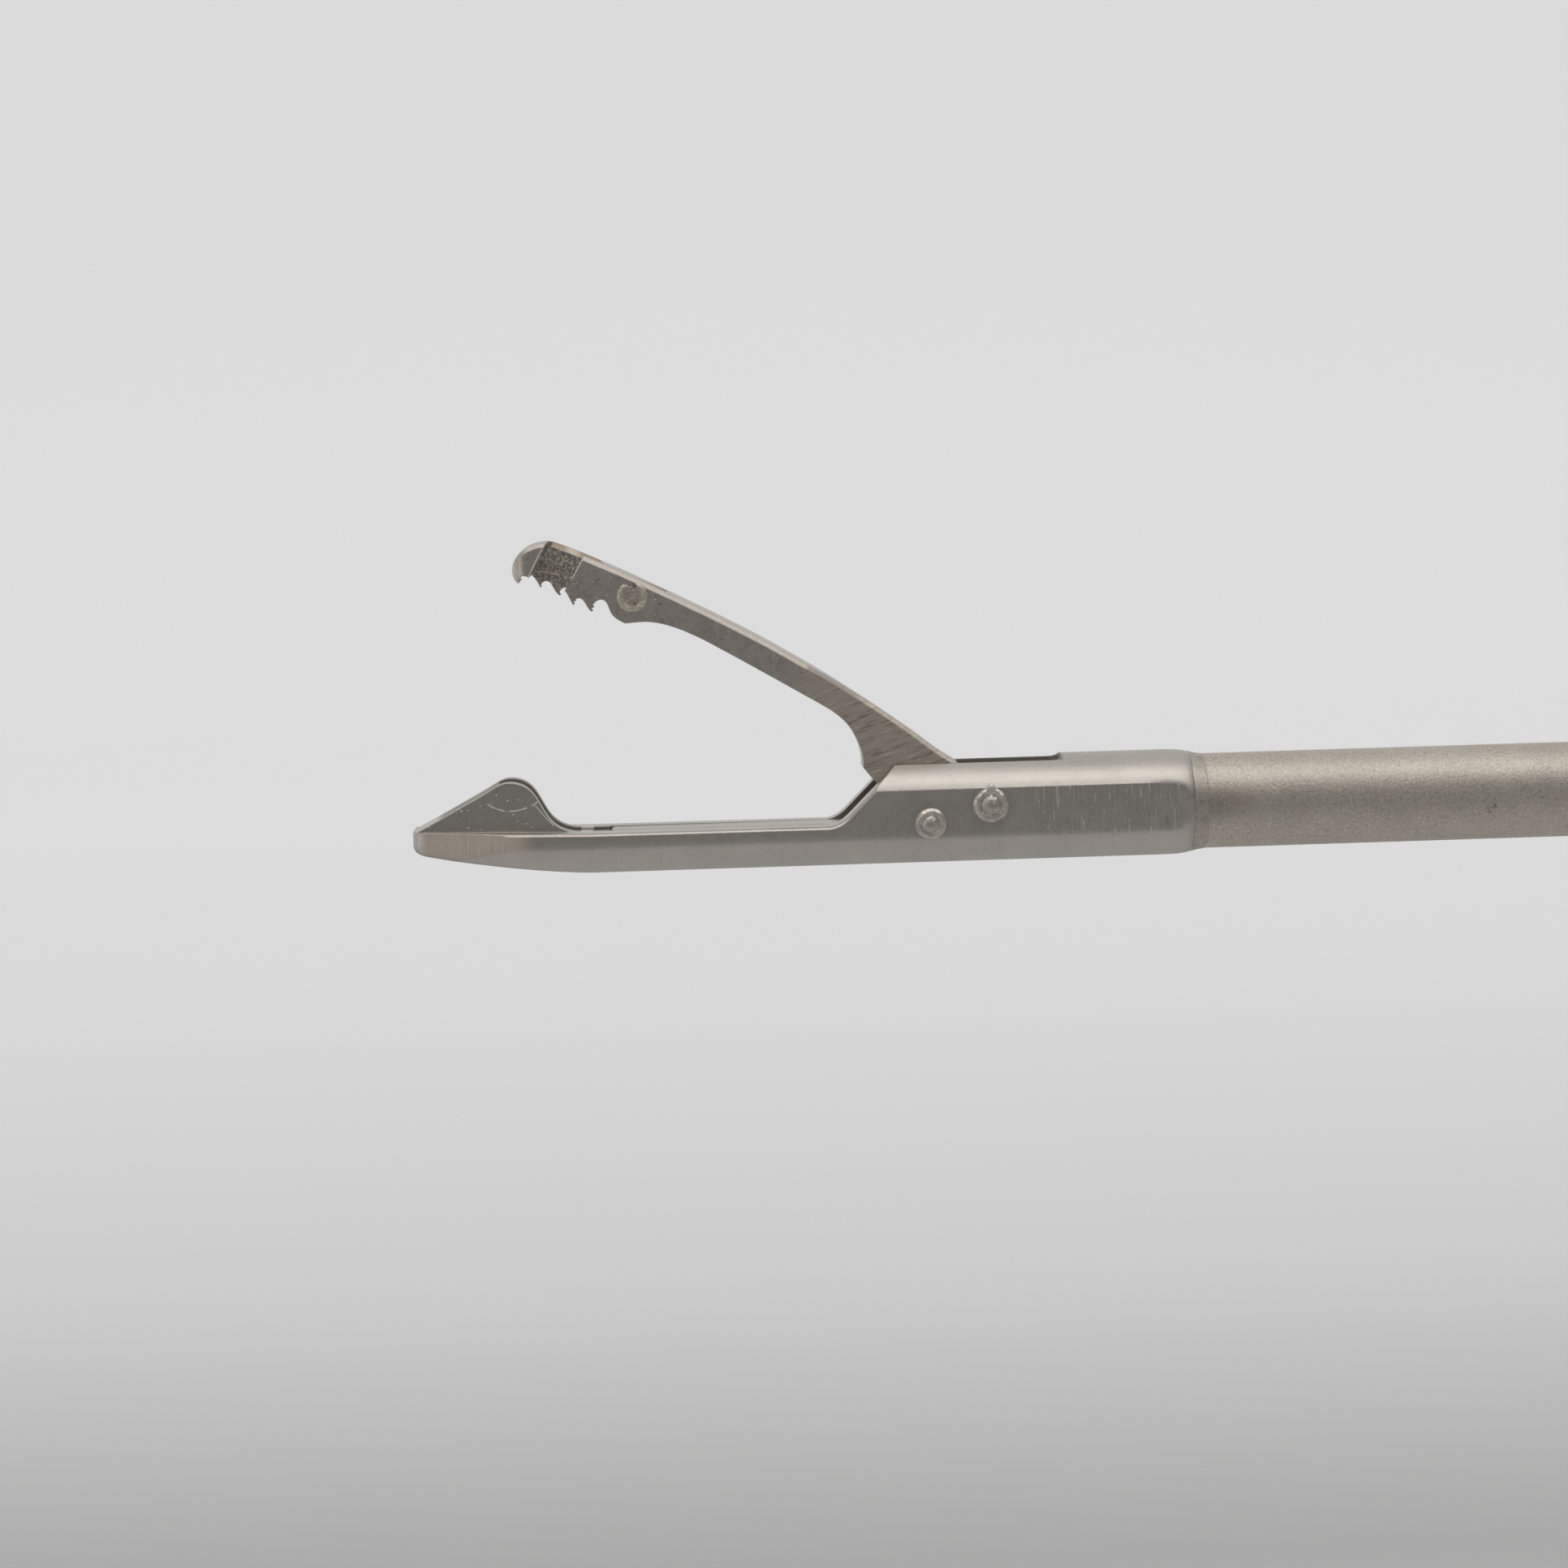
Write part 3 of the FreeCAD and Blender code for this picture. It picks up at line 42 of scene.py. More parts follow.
# ------------------------------------------------------------------ node helpers
class Mat:
    """Small builder for procedural materials. Lengths inside are millimetres."""

    def __init__(self, name):
        self.mat = bpy.data.materials.new(name)
        self.mat.use_nodes = True
        self.nt = self.mat.node_tree
        self.nt.nodes.clear()
        self.out = self.nt.nodes.new("ShaderNodeOutputMaterial")
        self.b = self.nt.nodes.new("ShaderNodeBsdfPrincipled")
        self.nt.links.new(self.b.outputs[0], self.out.inputs[0])
        tc = self.nt.nodes.new("ShaderNodeTexCoord")
        self.tc = tc
        sc = self.nt.nodes.new("ShaderNodeVectorMath")
        sc.operation = "SCALE"
        self.nt.links.new(tc.outputs["Object"], sc.inputs[0])
        sc.inputs["Scale"].default_value = 1000.0
        self.p = sc.outputs[0]
        sx = self.nt.nodes.new("ShaderNodeSeparateXYZ")
        self.nt.links.new(self.p, sx.inputs[0])
        self.x, self.y, self.z = sx.outputs
        sn = self.nt.nodes.new("ShaderNodeSeparateXYZ")
        self.nt.links.new(tc.outputs["Normal"], sn.inputs[0])
        self.nx, self.ny, self.nz = sn.outputs

    def put(self, socket, v):
        if isinstance(v, bpy.types.NodeSocket):
            self.nt.links.new(v, socket)
        elif v is not None:
            socket.default_value = v

    def math(self, op, a, b=None, c=None, clamp=False):
        n = self.nt.nodes.new("ShaderNodeMath")
        n.operation = op
        n.use_clamp = clamp
        for i, v in enumerate((a, b, c)):
            self.put(n.inputs[i], v)
        return n.outputs[0]

    def step(self, v, lo, hi):
        """0 below lo, 1 above hi, smooth between (lo > hi turns it round)."""
        n = self.nt.nodes.new("ShaderNodeMapRange")
        n.interpolation_type = "SMOOTHSTEP"
        self.put(n.inputs["Value"], v)
        if lo < hi:
            a, b_, t0, t1 = lo, hi, 0.0, 1.0
        else:
            a, b_, t0, t1 = hi, lo, 1.0, 0.0
        n.inputs["From Min"].default_value = a
        n.inputs["From Max"].default_value = b_
        n.inputs["To Min"].default_value = t0
        n.inputs["To Max"].default_value = t1
        return n.outputs["Result"]

    def band(self, v, lo, hi, soft):
        return self.math("MULTIPLY", self.step(v, lo - soft, lo + soft), self.step(v, hi + soft, hi - soft))

    def mul(self, *vals):
        out = vals[0]
        for v in vals[1:]:
            out = self.math("MULTIPLY", out, v)
        return out

    def lerp(self, f, a, b):
        n = self.nt.nodes.new("ShaderNodeMix")
        n.data_type = "FLOAT"
        n.clamp_factor = True
        self.put(n.inputs[0], f)
        self.put(n.inputs[2], a)
        self.put(n.inputs[3], b)
        return n.outputs[0]

    def mixc(self, f, a, b, mode="MIX"):
        n = self.nt.nodes.new("ShaderNodeMix")
        n.data_type = "RGBA"
        n.blend_type = mode
        n.clamp_factor = True
        self.put(n.inputs[0], f)
        for s, v in ((n.inputs[6], a), (n.inputs[7], b)):
            self.put(s, v if isinstance(v, bpy.types.NodeSocket) else (*v, 1.0))
        return n.outputs[2]

    def vec(self, scale=(1, 1, 1), rot=(0, 0, 0), loc=(0, 0, 0), src=None):
        n = self.nt.nodes.new("ShaderNodeMapping")
        self.nt.links.new(src or self.p, n.inputs["Vector"])
        n.inputs["Scale"].default_value = scale
        n.inputs["Rotation"].default_value = rot
        n.inputs["Location"].default_value = loc
        return n.outputs[0]

    def noise(self, scale, detail=3.0, rough=0.55, vec=None, dist=0.0):
        n = self.nt.nodes.new("ShaderNodeTexNoise")
        self.nt.links.new(vec or self.p, n.inputs["Vector"])
        n.inputs["Scale"].default_value = scale
        n.inputs["Detail"].default_value = detail
        n.inputs["Roughness"].default_value = rough
        n.inputs["Distortion"].default_value = dist
        return n.outputs[0]

    def voronoi(self, scale, vec=None, feature="F1"):
        n = self.nt.nodes.new("ShaderNodeTexVoronoi")
        n.feature = feature
        self.nt.links.new(vec or self.p, n.inputs["Vector"])
        n.inputs["Scale"].default_value = scale
        return n.outputs["Distance"]

    def dist2d(self, cx, cz):
        """Distance in the XZ plane from (cx, cz) mm."""
        dx = self.math("SUBTRACT", self.x, cx)
        dz = self.math("SUBTRACT", self.z, cz)
        return self.math("SQRT", self.math("ADD", self.math("MULTIPLY", dx, dx), self.math("MULTIPLY", dz, dz)))

    def bump(self, height, strength, distance, normal=None):
        n = self.nt.nodes.new("ShaderNodeBump")
        n.inputs["Strength"].default_value = strength
        n.inputs["Distance"].default_value = distance
        self.put(n.inputs["Height"], height)
        if normal is not None:
            self.nt.links.new(normal, n.inputs["Normal"])
        return n.outputs[0]

    def edge(self, radius_mm, samples=4):
        n = self.nt.nodes.new("ShaderNodeBevel")
        n.samples = samples
        n.inputs["Radius"].default_value = radius_mm * MM
        return n.outputs[0]

    def mixv(self, f, a, b):
        n = self.nt.nodes.new("ShaderNodeMix")
        n.data_type = "VECTOR"
        n.clamp_factor = True
        self.put(n.inputs[0], f)
        self.put(n.inputs[4], a)
        self.put(n.inputs[5], b)
        return n.outputs[1]


def steel(name, base, rough, grain=0.5, grain_scale=9.0, grain_bump=0.35, edge=0.04, streak=None, spots=0.5, extra=None,
          tint=(1.0, 0.93, 0.84), metal=1.0, soft=None):
    """Satin stainless: fine blasted grain, faint cloudiness, tiny bright and dark specks, soft broken edges."""
    m = Mat(name)
    m.b.inputs["Metallic"].default_value = metal
    cloud = m.noise(0.35, 3.0, 0.6)
    mid = m.noise(1.7, 4.0, 0.6)
    fine = m.noise(grain_scale, 2.0, 0.6)
    speck = m.noise(grain_scale * 1.9, 1.0, 0.5)
    lo = tuple(c * 0.955 for c in base)
    hi = tuple(min(1.0, c * 1.035) for c in base)
    col = m.mixc(m.step(cloud, 0.32, 0.70), lo, hi)
    warm = tuple(c * t for c, t in zip(base, tint))
    col = m.mixc(m.math("MULTIPLY", m.step(mid, 0.45, 0.75), 0.16), col, warm)
    col = m.mixc(m.math("MULTIPLY", m.step(fine, 0.47, 0.27), 0.42 * grain), col, tuple(c * 0.55 for c in base))
    col = m.mixc(m.math("MULTIPLY", m.step(speck, 0.64, 0.73), 0.60 * spots), col, tuple(min(1, c * 1.5) for c in base))
    r = m.lerp(fine, rough - 0.07 * grain, rough + 0.09 * grain)
    r = m.lerp(m.math("MULTIPLY", m.step(mid, 0.5, 0.8), 0.5), r, min(1.0, rough + 0.10))
    nrm = m.edge(edge) if edge else None
    if soft:
        # where two surfaces were blasted together they run into each other softly
        nrm = m.mixv(soft[1](m), nrm, m.edge(soft[0], 6))
    h = m.math("ADD", fine, m.math("MULTIPLY", speck, 0.5))
    nrm = m.bump(h, grain_bump, 0.016 * MM, nrm)
    if streak:
        # brushed strokes: long in one direction, seen as fine light and dark lines
        sv = m.vec(scale=streak["scale"], rot=streak.get("rot", (0, 0, 0)))
        lines = m.noise(1.0, 4.0, 0.75, sv)
        mask = streak["mask"](m) if streak.get("mask") else 1.0
        amt = streak.get("amount", 0.5)
        light = m.mul(m.step(lines, 0.56, 0.72), mask, amt)
        dark = m.mul(m.step(lines, 0.46, 0.32), mask, amt)
        col = m.mixc(dark, col, tuple(c * 0.62 for c in base))
        col = m.mixc(light, col, tuple(min(1, c * 1.35) for c in base))
        r = m.lerp(light, r, min(1.0, rough + 0.16))
        nrm = m.bump(m.math("MULTIPLY", lines, mask), streak.get("bump", 0.25), 0.008 * MM, nrm)
    if extra:
        col, r, nrm = extra(m, col, r, nrm)
    m.put(m.b.inputs["Base Color"], col)
    m.put(m.b.inputs["Roughness"], r)
    m.put(m.b.inputs["Normal"], nrm)
    return m.mat


def paint(names, mat):
    for n in names:
        o = nodes[n]
        o.data.materials.clear()
        o.data.materials.append(mat)
        for p in o.data.polygons:
            p.material_index = 0


T = TIP * 1000.0       # mm


# ------------------------------------------------------------------ distal head
def head_extra(m, col, r, nrm):
    side = m.step(m.math("ABSOLUTE", m.ny), 0.985, 0.999)
    flat = m.mul(side, m.step(m.math("ABSOLUTE", m.y), 2.40, 2.45))
    fin = m.mul(side, m.step(m.math("ABSOLUTE", m.y), 1.75, 1.70), m.step(m.z, -0.6, -0.3))
    # painted shade: every face looking straight along ±y (the flats, the fin's sides) is coloured a little darker than
    # the round top
    col = m.mixc(m.mul(side, 0.17), col, (0.36, 0.335, 0.305))
    # ground strokes across the rear of the flats
    sv = m.vec(scale=(9.5, 0.4, 0.50))
    lines = m.noise(1.0, 3.0, 0.8, sv)
    rear = m.step(m.x, T + 3.8, T + 7.0)
    long_ = m.mul(flat, m.lerp(rear, 0.10, 1.0))
    light = m.mul(m.step(lines, 0.57, 0.68), long_, 0.85)
    dark = m.mul(m.step(lines, 0.46, 0.34), long_, 0.45)
    col = m.mixc(dark, col, (0.33, 0.305, 0.275))
    col = m.mixc(light, col, (0.92, 0.87, 0.80))
    r = m.lerp(light, r, 0.78)
    nrm = m.bump(m.mul(lines, long_), 0.25, 0.012 * MM, nrm)
    # fine bright dust-like specks on every flat
    grit = m.step(m.voronoi(3.4, m.vec(loc=(0.4, 0.2, 0.9))), 0.110, 0.065)
    col = m.mixc(m.mul(grit, side, 0.75), col, (0.95, 0.92, 0.87))
    r = m.lerp(m.mul(grit, side), r, 0.80)
    # nose facets: warm, with short upright strokes
    facet = m.mul(m.step(m.x, T - 20.6, T - 21.9), m.step(m.math("ABSOLUTE", m.ny), 0.80, 0.90), m.step(m.z, -0.1, -0.45))
    sv2 = m.vec(scale=(11.0, 2.0, 1.3), loc=(3.0, 0, 0))
    l2 = m.noise(1.0, 3.0, 0.7, sv2)
    col = m.mixc(m.mul(facet, 0.75), col, (0.76, 0.675, 0.585))
    col = m.mixc(m.mul(facet, m.step(l2, 0.56, 0.70), 0.48), col, (0.95, 0.88, 0.80))
    col = m.mixc(m.mul(facet, m.step(l2, 0.44, 0.32), 0.35), col, (0.42, 0.37, 0.32))
    r = m.lerp(m.mul(facet, 0.9), r, 0.66)
    # fin faces: dark, with fine dust-like specks; painted highlights: a thin bright arc and a thin bright slanted line
    # just inside the fin's contour, where its edge catches the light
    col = m.mixc(m.mul(fin, 0.20), col, (0.36, 0.33, 0.30))
    dots = m.step(m.voronoi(2.6, m.vec(scale=(1, 1, 1), loc=(0.3, 0, 0.7))), 0.145, 0.085)
    wob = m.math("MULTIPLY", m.math("SUBTRACT", m.noise(1.2, 2.0), 0.5), 0.16)
    edge_glint_arc = m.math("ABSOLUTE", m.math("SUBTRACT", m.math("ADD", m.dist2d(T - 21.92, 2.85), wob), 2.10))
    edge_glint_arc = m.mul(m.step(edge_glint_arc, 0.048, 0.018), m.step(m.z, 1.55, 1.30), m.step(m.noise(2.3, 1.0), 0.34, 0.48))
    line = m.math("ABSOLUTE", m.math("ADD", m.math("SUBTRACT", m.math("ADD", m.z, m.math("MULTIPLY", m.x, 1.158)),
                                                   1.158 * (T - 20.79) + 1.07), m.math("MULTIPLY", wob, 0.6)))
    line = m.mul(m.step(line, 0.060, 0.025), m.band(m.z, -0.10, 1.02, 0.05))
    # the specks are grit; the arc and the slanted line are painted highlights
    specks_and_edge_glints = m.mul(m.math("MAXIMUM", m.math("MAXIMUM", edge_glint_arc, line), dots), fin)
    col = m.mixc(m.mul(specks_and_edge_glints, 0.85), col, (0.95, 0.92, 0.87))
    r = m.lerp(specks_and_edge_glints, r, 0.85)
    # the round top is blasted a little coarser than the flats
    crown = m.mul(m.step(m.z, 0.9, 1.5), m.step(m.nz, 0.15, 0.40))
    r = m.math("ADD", r, m.math("MULTIPLY", crown, 0.07))
    # weld line at the rear shoulder: small dark burns on a rougher, rippled ring
    ring = m.band(m.x, T + 13.25, T + 13.95, 0.15)
    burn = m.mul(ring, m.step(m.noise(3.6, 3.0, 0.75, m.vec(scale=(1.6, 1, 0.8))), 0.52, 0.70))
    col = m.mixc(m.mul(burn, 0.55), col, (0.22, 0.195, 0.17))
    nrm = m.bump(m.mul(ring, m.noise(2.6, 3.0, 0.7)), 0.40, 0.03 * MM, nrm)
    r = m.lerp(m.mul(ring, 0.5), r, 0.5)
    # slot and track: dark, spark-cut
    inside = m.mul(m.step(m.math("ABSOLUTE", m.y), 1.235, 1.205), m.step(m.x, T - 26.0, T - 25.5), m.step(m.x, T + 7.0, T + 6.8),
                   m.step(m.z, -2.3, -2.1))
    col = m.mixc(m.mul(inside, 0.55), col, (0.22, 0.20, 0.18))
    r = m.lerp(inside, r, 0.62)
    # painted light: a bright patch on the track's far wall, in the gap just behind the fin
    lit_gap_patch = m.mul(inside, m.band(m.x, T - 18.4, T - 17.75, 0.06), m.step(m.z, -0.9, -0.7))
    col = m.mixc(m.mul(lit_gap_patch, 0.9), col, (0.92, 0.87, 0.80))
    r = m.lerp(lit_gap_patch, r, 0.80)
    # grey heat tint round the two welds
    for cx, cz, rad in ((T - 0.20, -0.51, 0.81), (T + 2.96, 0.37, 0.92)):
        d = m.dist2d(cx, cz)
        halo = m.mul(m.step(d, rad + 0.55, rad + 0.02), flat, m.noise(2.6, 3.0))
        col = m.mixc(m.mul(halo, 0.35), col, (0.30, 0.275, 0.245))
    return col, r, nrm


def head_soft(m):
    low = m.step(m.z, -0.55, -1.05)
    back = m.step(m.x, T + 11.0, T + 12.0)
    return m.math("MAXIMUM", low, back)


paint(["distal_head"], steel("head_satin", (0.565, 0.530, 0.488), 0.36, grain=0.75, grain_scale=7.0, grain_bump=0.35, edge=0.085,
                             spots=0.45, extra=head_extra, soft=(0.55, head_soft)))


# ------------------------------------------------------------------ upper jaw
def jaw_extra(m, col, r, nrm):
    ay = m.math("ABSOLUTE", m.y)
    nose = m.math("SUBTRACT", m.math("SUBTRACT", m.x, T - 19.74), m.math("MULTIPLY", m.math("SUBTRACT", m.z, 14.5), 0.537))
    inner = m.mul(m.step(ay, 1.79, 1.77), m.step(m.x, T - 14.2, T - 14.7), m.step(nose, -0.04, 0.0), m.step(m.nz, 0.60, 0.30))
    # spark-cut faces inside the tip slot: dark with coarse bright crumbs
    crumbs = m.noise(8.5, 2.0, 0.6)
    col = m.mixc(m.mul(inner, 0.75), col, (0.44, 0.40, 0.355))
    col = m.mixc(m.mul(inner, m.step(crumbs, 0.54, 0.62), 0.8), col, (0.90, 0.84, 0.76))
    col = m.mixc(m.mul(inner, m.step(crumbs, 0.44, 0.37), 0.6), col, (0.17, 0.152, 0.133))
    r = m.lerp(inner, r, m.lerp(m.step(crumbs, 0.50, 0.62), 0.5, 0.78))
    nrm = m.bump(m.mul(inner, crumbs), 0.60, 0.030 * MM, nrm)
    # bevel on top of the far wall: brown, with a painted highlight across the middle
    bevel = m.mul(m.step(m.y, 1.70, 1.76), m.step(m.ny, -0.30, -0.45), m.step(m.nz, 0.20, 0.35), m.step(m.x, T - 16.4, T - 16.7))
    rub_and_glint = m.mul(m.band(m.x, T - 18.7, T - 18.1, 0.25), m.lerp(m.noise(2.5, 2.0), 0.4, 1.0))
    col = m.mixc(m.mul(bevel, 0.85), col, (0.30, 0.24, 0.19))
    col = m.mixc(m.mul(bevel, rub_and_glint, 0.8), col, (0.72, 0.63, 0.53))
    # painted highlights: thin bright lines along the two slanted window edges, where the near wall's edges catch the
    # light
    outer = m.mul(m.step(ay, 1.95, 2.05), m.step(m.ny, -0.75, -0.90))
    edge_glint_front = m.band(nose, -0.10, -0.02, 0.02)
    rear = m.math("SUBTRACT", m.math("SUBTRACT", m.x, T - 18.80), m.math("MULTIPLY", m.math("SUBTRACT", m.z, 12.14), 0.588))
    edge_glint_rear = m.mul(m.band(rear, -0.02, 0.075, 0.02), m.step(m.z, 12.0, 12.3))
    edge_glint = m.mul(m.math("MAXIMUM", edge_glint_front, edge_glint_rear), outer, m.step(m.z, 12.6, 12.9))
    col = m.mixc(m.mul(edge_glint, 0.85), col, (0.95, 0.92, 0.87))
    r = m.lerp(edge_glint, r, 0.85)
    # grinding strokes on the heel's cheeks
    side = m.step(m.math("ABSOLUTE", m.ny), 0.55, 0.8)
    heel = m.mul(m.step(m.x, T - 7.6, T - 6.0), side)
    sv = m.vec(scale=(0.55, 0.5, 7.0), src=m.vec(rot=(0, math.radians(16), 0)))
    l = m.noise(1.0, 4.0, 0.8, sv)
    col = m.mixc(m.mul(heel, 0.65), col, (0.60, 0.525, 0.445))
    col = m.mixc(m.mul(heel, m.step(l, 0.47, 0.32), 0.75), col, (0.20, 0.172, 0.145))
    col = m.mixc(m.mul(heel, m.step(l, 0.55, 0.70), 0.60), col, (0.90, 0.81, 0.70))
    r = m.lerp(m.mul(heel, 0.7), r, 0.54)
    nrm = m.bump(m.mul(l, heel), 0.35, 0.020 * MM, nrm)
    # upright chatter, stains and grit on the arm's cheeks
    cheek = m.step(m.math("ABSOLUTE", m.ny), 0.93, 0.99)
    arm = m.mul(m.step(m.x, T - 6.5, T - 8.5), cheek)
    c = m.noise(1.0, 2.0, 0.6, m.vec(scale=(4.5, 0.5, 0.5), rot=(0, math.radians(-14), 0)))
    col = m.mixc(m.mul(arm, m.step(c, 0.55, 0.70), 0.22), col, (0.80, 0.74, 0.66))
    col = m.mixc(m.mul(arm, m.step(m.noise(1.3, 4.0, 0.75), 0.50, 0.66), 0.38), col, (0.32, 0.28, 0.242))
    stain = m.step(m.noise(3.6, 3.0, 0.7, m.vec(loc=(7, 0, 3))), 0.60, 0.68)
    col = m.mixc(m.mul(arm, stain, 0.55), col, (0.24, 0.205, 0.175))
    grit = m.mul(cheek, m.step(m.voronoi(2.9, m.vec(loc=(0.1, 0.5, 0.2))), 0.115, 0.070))
    col = m.mixc(m.mul(grit, 0.75), col, (0.95, 0.91, 0.86))
    r = m.lerp(grit, r, 0.80)
    return col, r, nrm


paint(["upper_jaw"], steel("jaw_satin", (0.545, 0.500, 0.452), 0.39, grain=0.8, grain_scale=6.5, grain_bump=0.38, edge=0.10,
                           spots=0.55, extra=jaw_extra))


# ------------------------------------------------------------------ shaft tube
def shaft_extra(m, col, r, nrm):
    # fine turned lines round the tube
    rings = m.noise(1.0, 3.0, 0.75, m.vec(scale=(7.0, 0.5, 0.5)))
    col = m.mixc(m.mul(m.step(rings, 0.58, 0.74), 0.35), col, (0.82, 0.755, 0.66))
    nrm = m.bump(rings, 0.30, 0.012 * MM, nrm)
    # blasted skin: fine pits and crests
    skin = m.noise(7.5, 3.0, 0.65, m.vec(scale=(1.0, 1.0, 1.0), loc=(3, 1, 7)))
    col = m.mixc(m.math("MULTIPLY", m.step(skin, 0.47, 0.33), 0.42), col, (0.33, 0.295, 0.255))
    col = m.mixc(m.math("MULTIPLY", m.step(skin, 0.55, 0.68), 0.45), col, (0.84, 0.785, 0.70))
    nrm = m.bump(skin, 0.55, 0.030 * MM, nrm)
    # painted shadow: a straw-coloured dark patch on the tube just behind the weld; and small scuffs along the tube
    d = m.math("SQRT", m.math("ADD", m.math("POWER", m.math("MULTIPLY", m.math("SUBTRACT", m.x, T + 15.0), 0.55), 2.0),
                              m.math("POWER", m.math("SUBTRACT", m.z, 0.15), 2.0)))
    weld_shadow = m.mul(m.step(d, 1.35, 0.25), m.lerp(m.noise(2.2, 3.0, 0.7), 0.3, 1.0))
    col = m.mixc(m.mul(weld_shadow, 0.62), col, (0.29, 0.25, 0.21))
    for cx, cz, rad, sd in ((T + 29.2, -0.62, 0.42, 0.0), (T + 9.0 + 17.2, -1.95, 0.12, 2.0), (T + 47.5, 0.9, 0.35, 5.0), (T + 83.0, -0.9, 0.5, 8.0)):
        q = m.dist2d(cx, cz)
        sc = m.mul(m.step(q, rad, rad * 0.3), m.step(m.noise(7.5, 2.0, 0.7, m.vec(loc=(sd, 0, 0), scale=(0.7, 1, 1.6))), 0.50, 0.58))
        col = m.mixc(m.mul(sc, 0.8), col, (0.12, 0.105, 0.09))
    # long light rubs from the cannula
    rub_and_glint = m.noise(1.0, 3.0, 0.7, m.vec(scale=(0.05, 3.5, 3.5)))
    col = m.mixc(m.mul(m.step(rub_and_glint, 0.62, 0.80), m.step(m.x, T + 32.0, T + 60.0), 0.18), col, (0.85, 0.80, 0.73))
    return col, r, nrm


paint(["shaft_tube"], steel("shaft_blasted", (0.590, 0.543, 0.482), 0.53, grain=1.0, grain_scale=5.5, grain_bump=0.60, edge=0,
                            spots=0.8, extra=shaft_extra, tint=(1.04, 0.94, 0.80)))


# ------------------------------------------------------------------ strips, needle, rods
paint(["track_cover", "trap_leaf_spring", "suture_trap"],
      steel("strip_satin", (0.53, 0.495, 0.45), 0.36, grain=0.5, grain_scale=8.0, grain_bump=0.2, edge=0.03,
            streak={"scale": (0.4, 9.0, 9.0), "amount": 0.35, "bump": 0.15}))
paint(["needle_tip", "needle_shank"],
      steel("needle_polished", (0.50, 0.495, 0.49), 0.22, grain=0.4, grain_scale=10.0, grain_bump=0.1, edge=0.02,
            streak={"scale": (0.5, 14.0, 2.0), "amount": 0.3, "bump": 0.1}, tint=(1.0, 0.97, 0.93)))
paint(["jaw_rod", "rod_clevis", "needle_push_rod", "jaw_drive_pin", "lever_drive_pin", "carriage_pin", "lever_spring",
       "trigger_spring"],
      steel("rod_drawn", (0.585, 0.56, 0.525), 0.28, grain=0.4, grain_scale=8.0, grain_bump=0.15, edge=0.04,
            streak={"scale": (0.3, 7.0, 7.0), "amount": 0.35, "bump": 0.12}))


# ------------------------------------------------------------------ handle
def wear(strength=0.5):
    """Hand wear: smoother, brighter cloudy patches and faint light hairlines."""
    def f(m, col, r, nrm):
        n = m.noise(0.12, 4.0, 0.65)
        col = m.mixc(m.math("MULTIPLY", m.step(n, 0.52, 0.70), 0.30 * strength), col, (0.70, 0.66, 0.60))
        r = m.lerp(m.math("MULTIPLY", m.step(n, 0.50, 0.72), 0.8 * strength), r, 0.28)
        hair = m.noise(1.0, 3.0, 0.8, m.vec(scale=(0.35, 1.5, 5.0), rot=(0, 0.5, 0)))
        col = m.mixc(m.math("MULTIPLY", m.step(hair, 0.68, 0.80), 0.20 * strength), col, (0.82, 0.79, 0.74))
        return col, r, nrm
    return f


paint(["handle_frame", "jaw_lever", "needle_trigger"],
      steel("handle_blasted", (0.555, 0.53, 0.495), 0.42, grain=0.9, grain_scale=5.0, grain_bump=0.5, edge=0.18, spots=0.4,
            extra=wear(0.8), tint=(1.02, 0.96, 0.88)))
paint(["left_cover", "right_cover"],
      steel("cover_brushed", (0.575, 0.55, 0.515), 0.34, grain=0.6, grain_scale=6.0, grain_bump=0.2, edge=0.12, spots=0.3,
            streak={"scale": (0.10, 2.0, 6.5), "amount": 0.42, "bump": 0.22}, extra=wear(0.6), tint=(1.02, 0.96, 0.89)))
paint(["cover_screws", "lever_pivot_screw", "lever_pivot_nut", "trigger_pivot_screw", "trigger_pivot_nut", "collar_set_screw"],
      steel("screw_turned", (0.61, 0.59, 0.56), 0.28, grain=0.5, grain_scale=6.0, grain_bump=0.08, edge=0.08, spots=0.2,
            extra=wear(0.4), tint=(1.0, 0.96, 0.9)))
paint(["nose_collar", "flush_port", "needle_carriage"],
      steel("collar_turned", (0.60, 0.575, 0.54), 0.30, grain=0.5, grain_scale=6.0, grain_bump=0.2, edge=0.10, spots=0.3,
            streak={"scale": (9.0, 0.3, 0.3), "amount": 0.35, "bump": 0.2}, extra=wear(0.5), tint=(1.0, 0.96, 0.9)))


def bronze():
    m = Mat("bush_bronze")
    m.b.inputs["Metallic"].default_value = 1.0
    n = m.noise(2.2, 4.0, 0.65)
    col = m.mixc(m.step(n, 0.35, 0.7), (0.46, 0.30, 0.13), (0.66, 0.47, 0.22))
    col = m.mixc(m.math("MULTIPLY", m.step(m.noise(6.0, 2.0), 0.62, 0.72), 0.5), col, (0.26, 0.17, 0.09))
    m.put(m.b.inputs["Base Color"], col)
    m.put(m.b.inputs["Roughness"], m.lerp(n, 0.28, 0.46))
    m.put(m.b.inputs["Normal"], m.bump(m.noise(9.0, 2.0), 0.25, 0.006 * MM, m.edge(0.05)))
    return m.mat


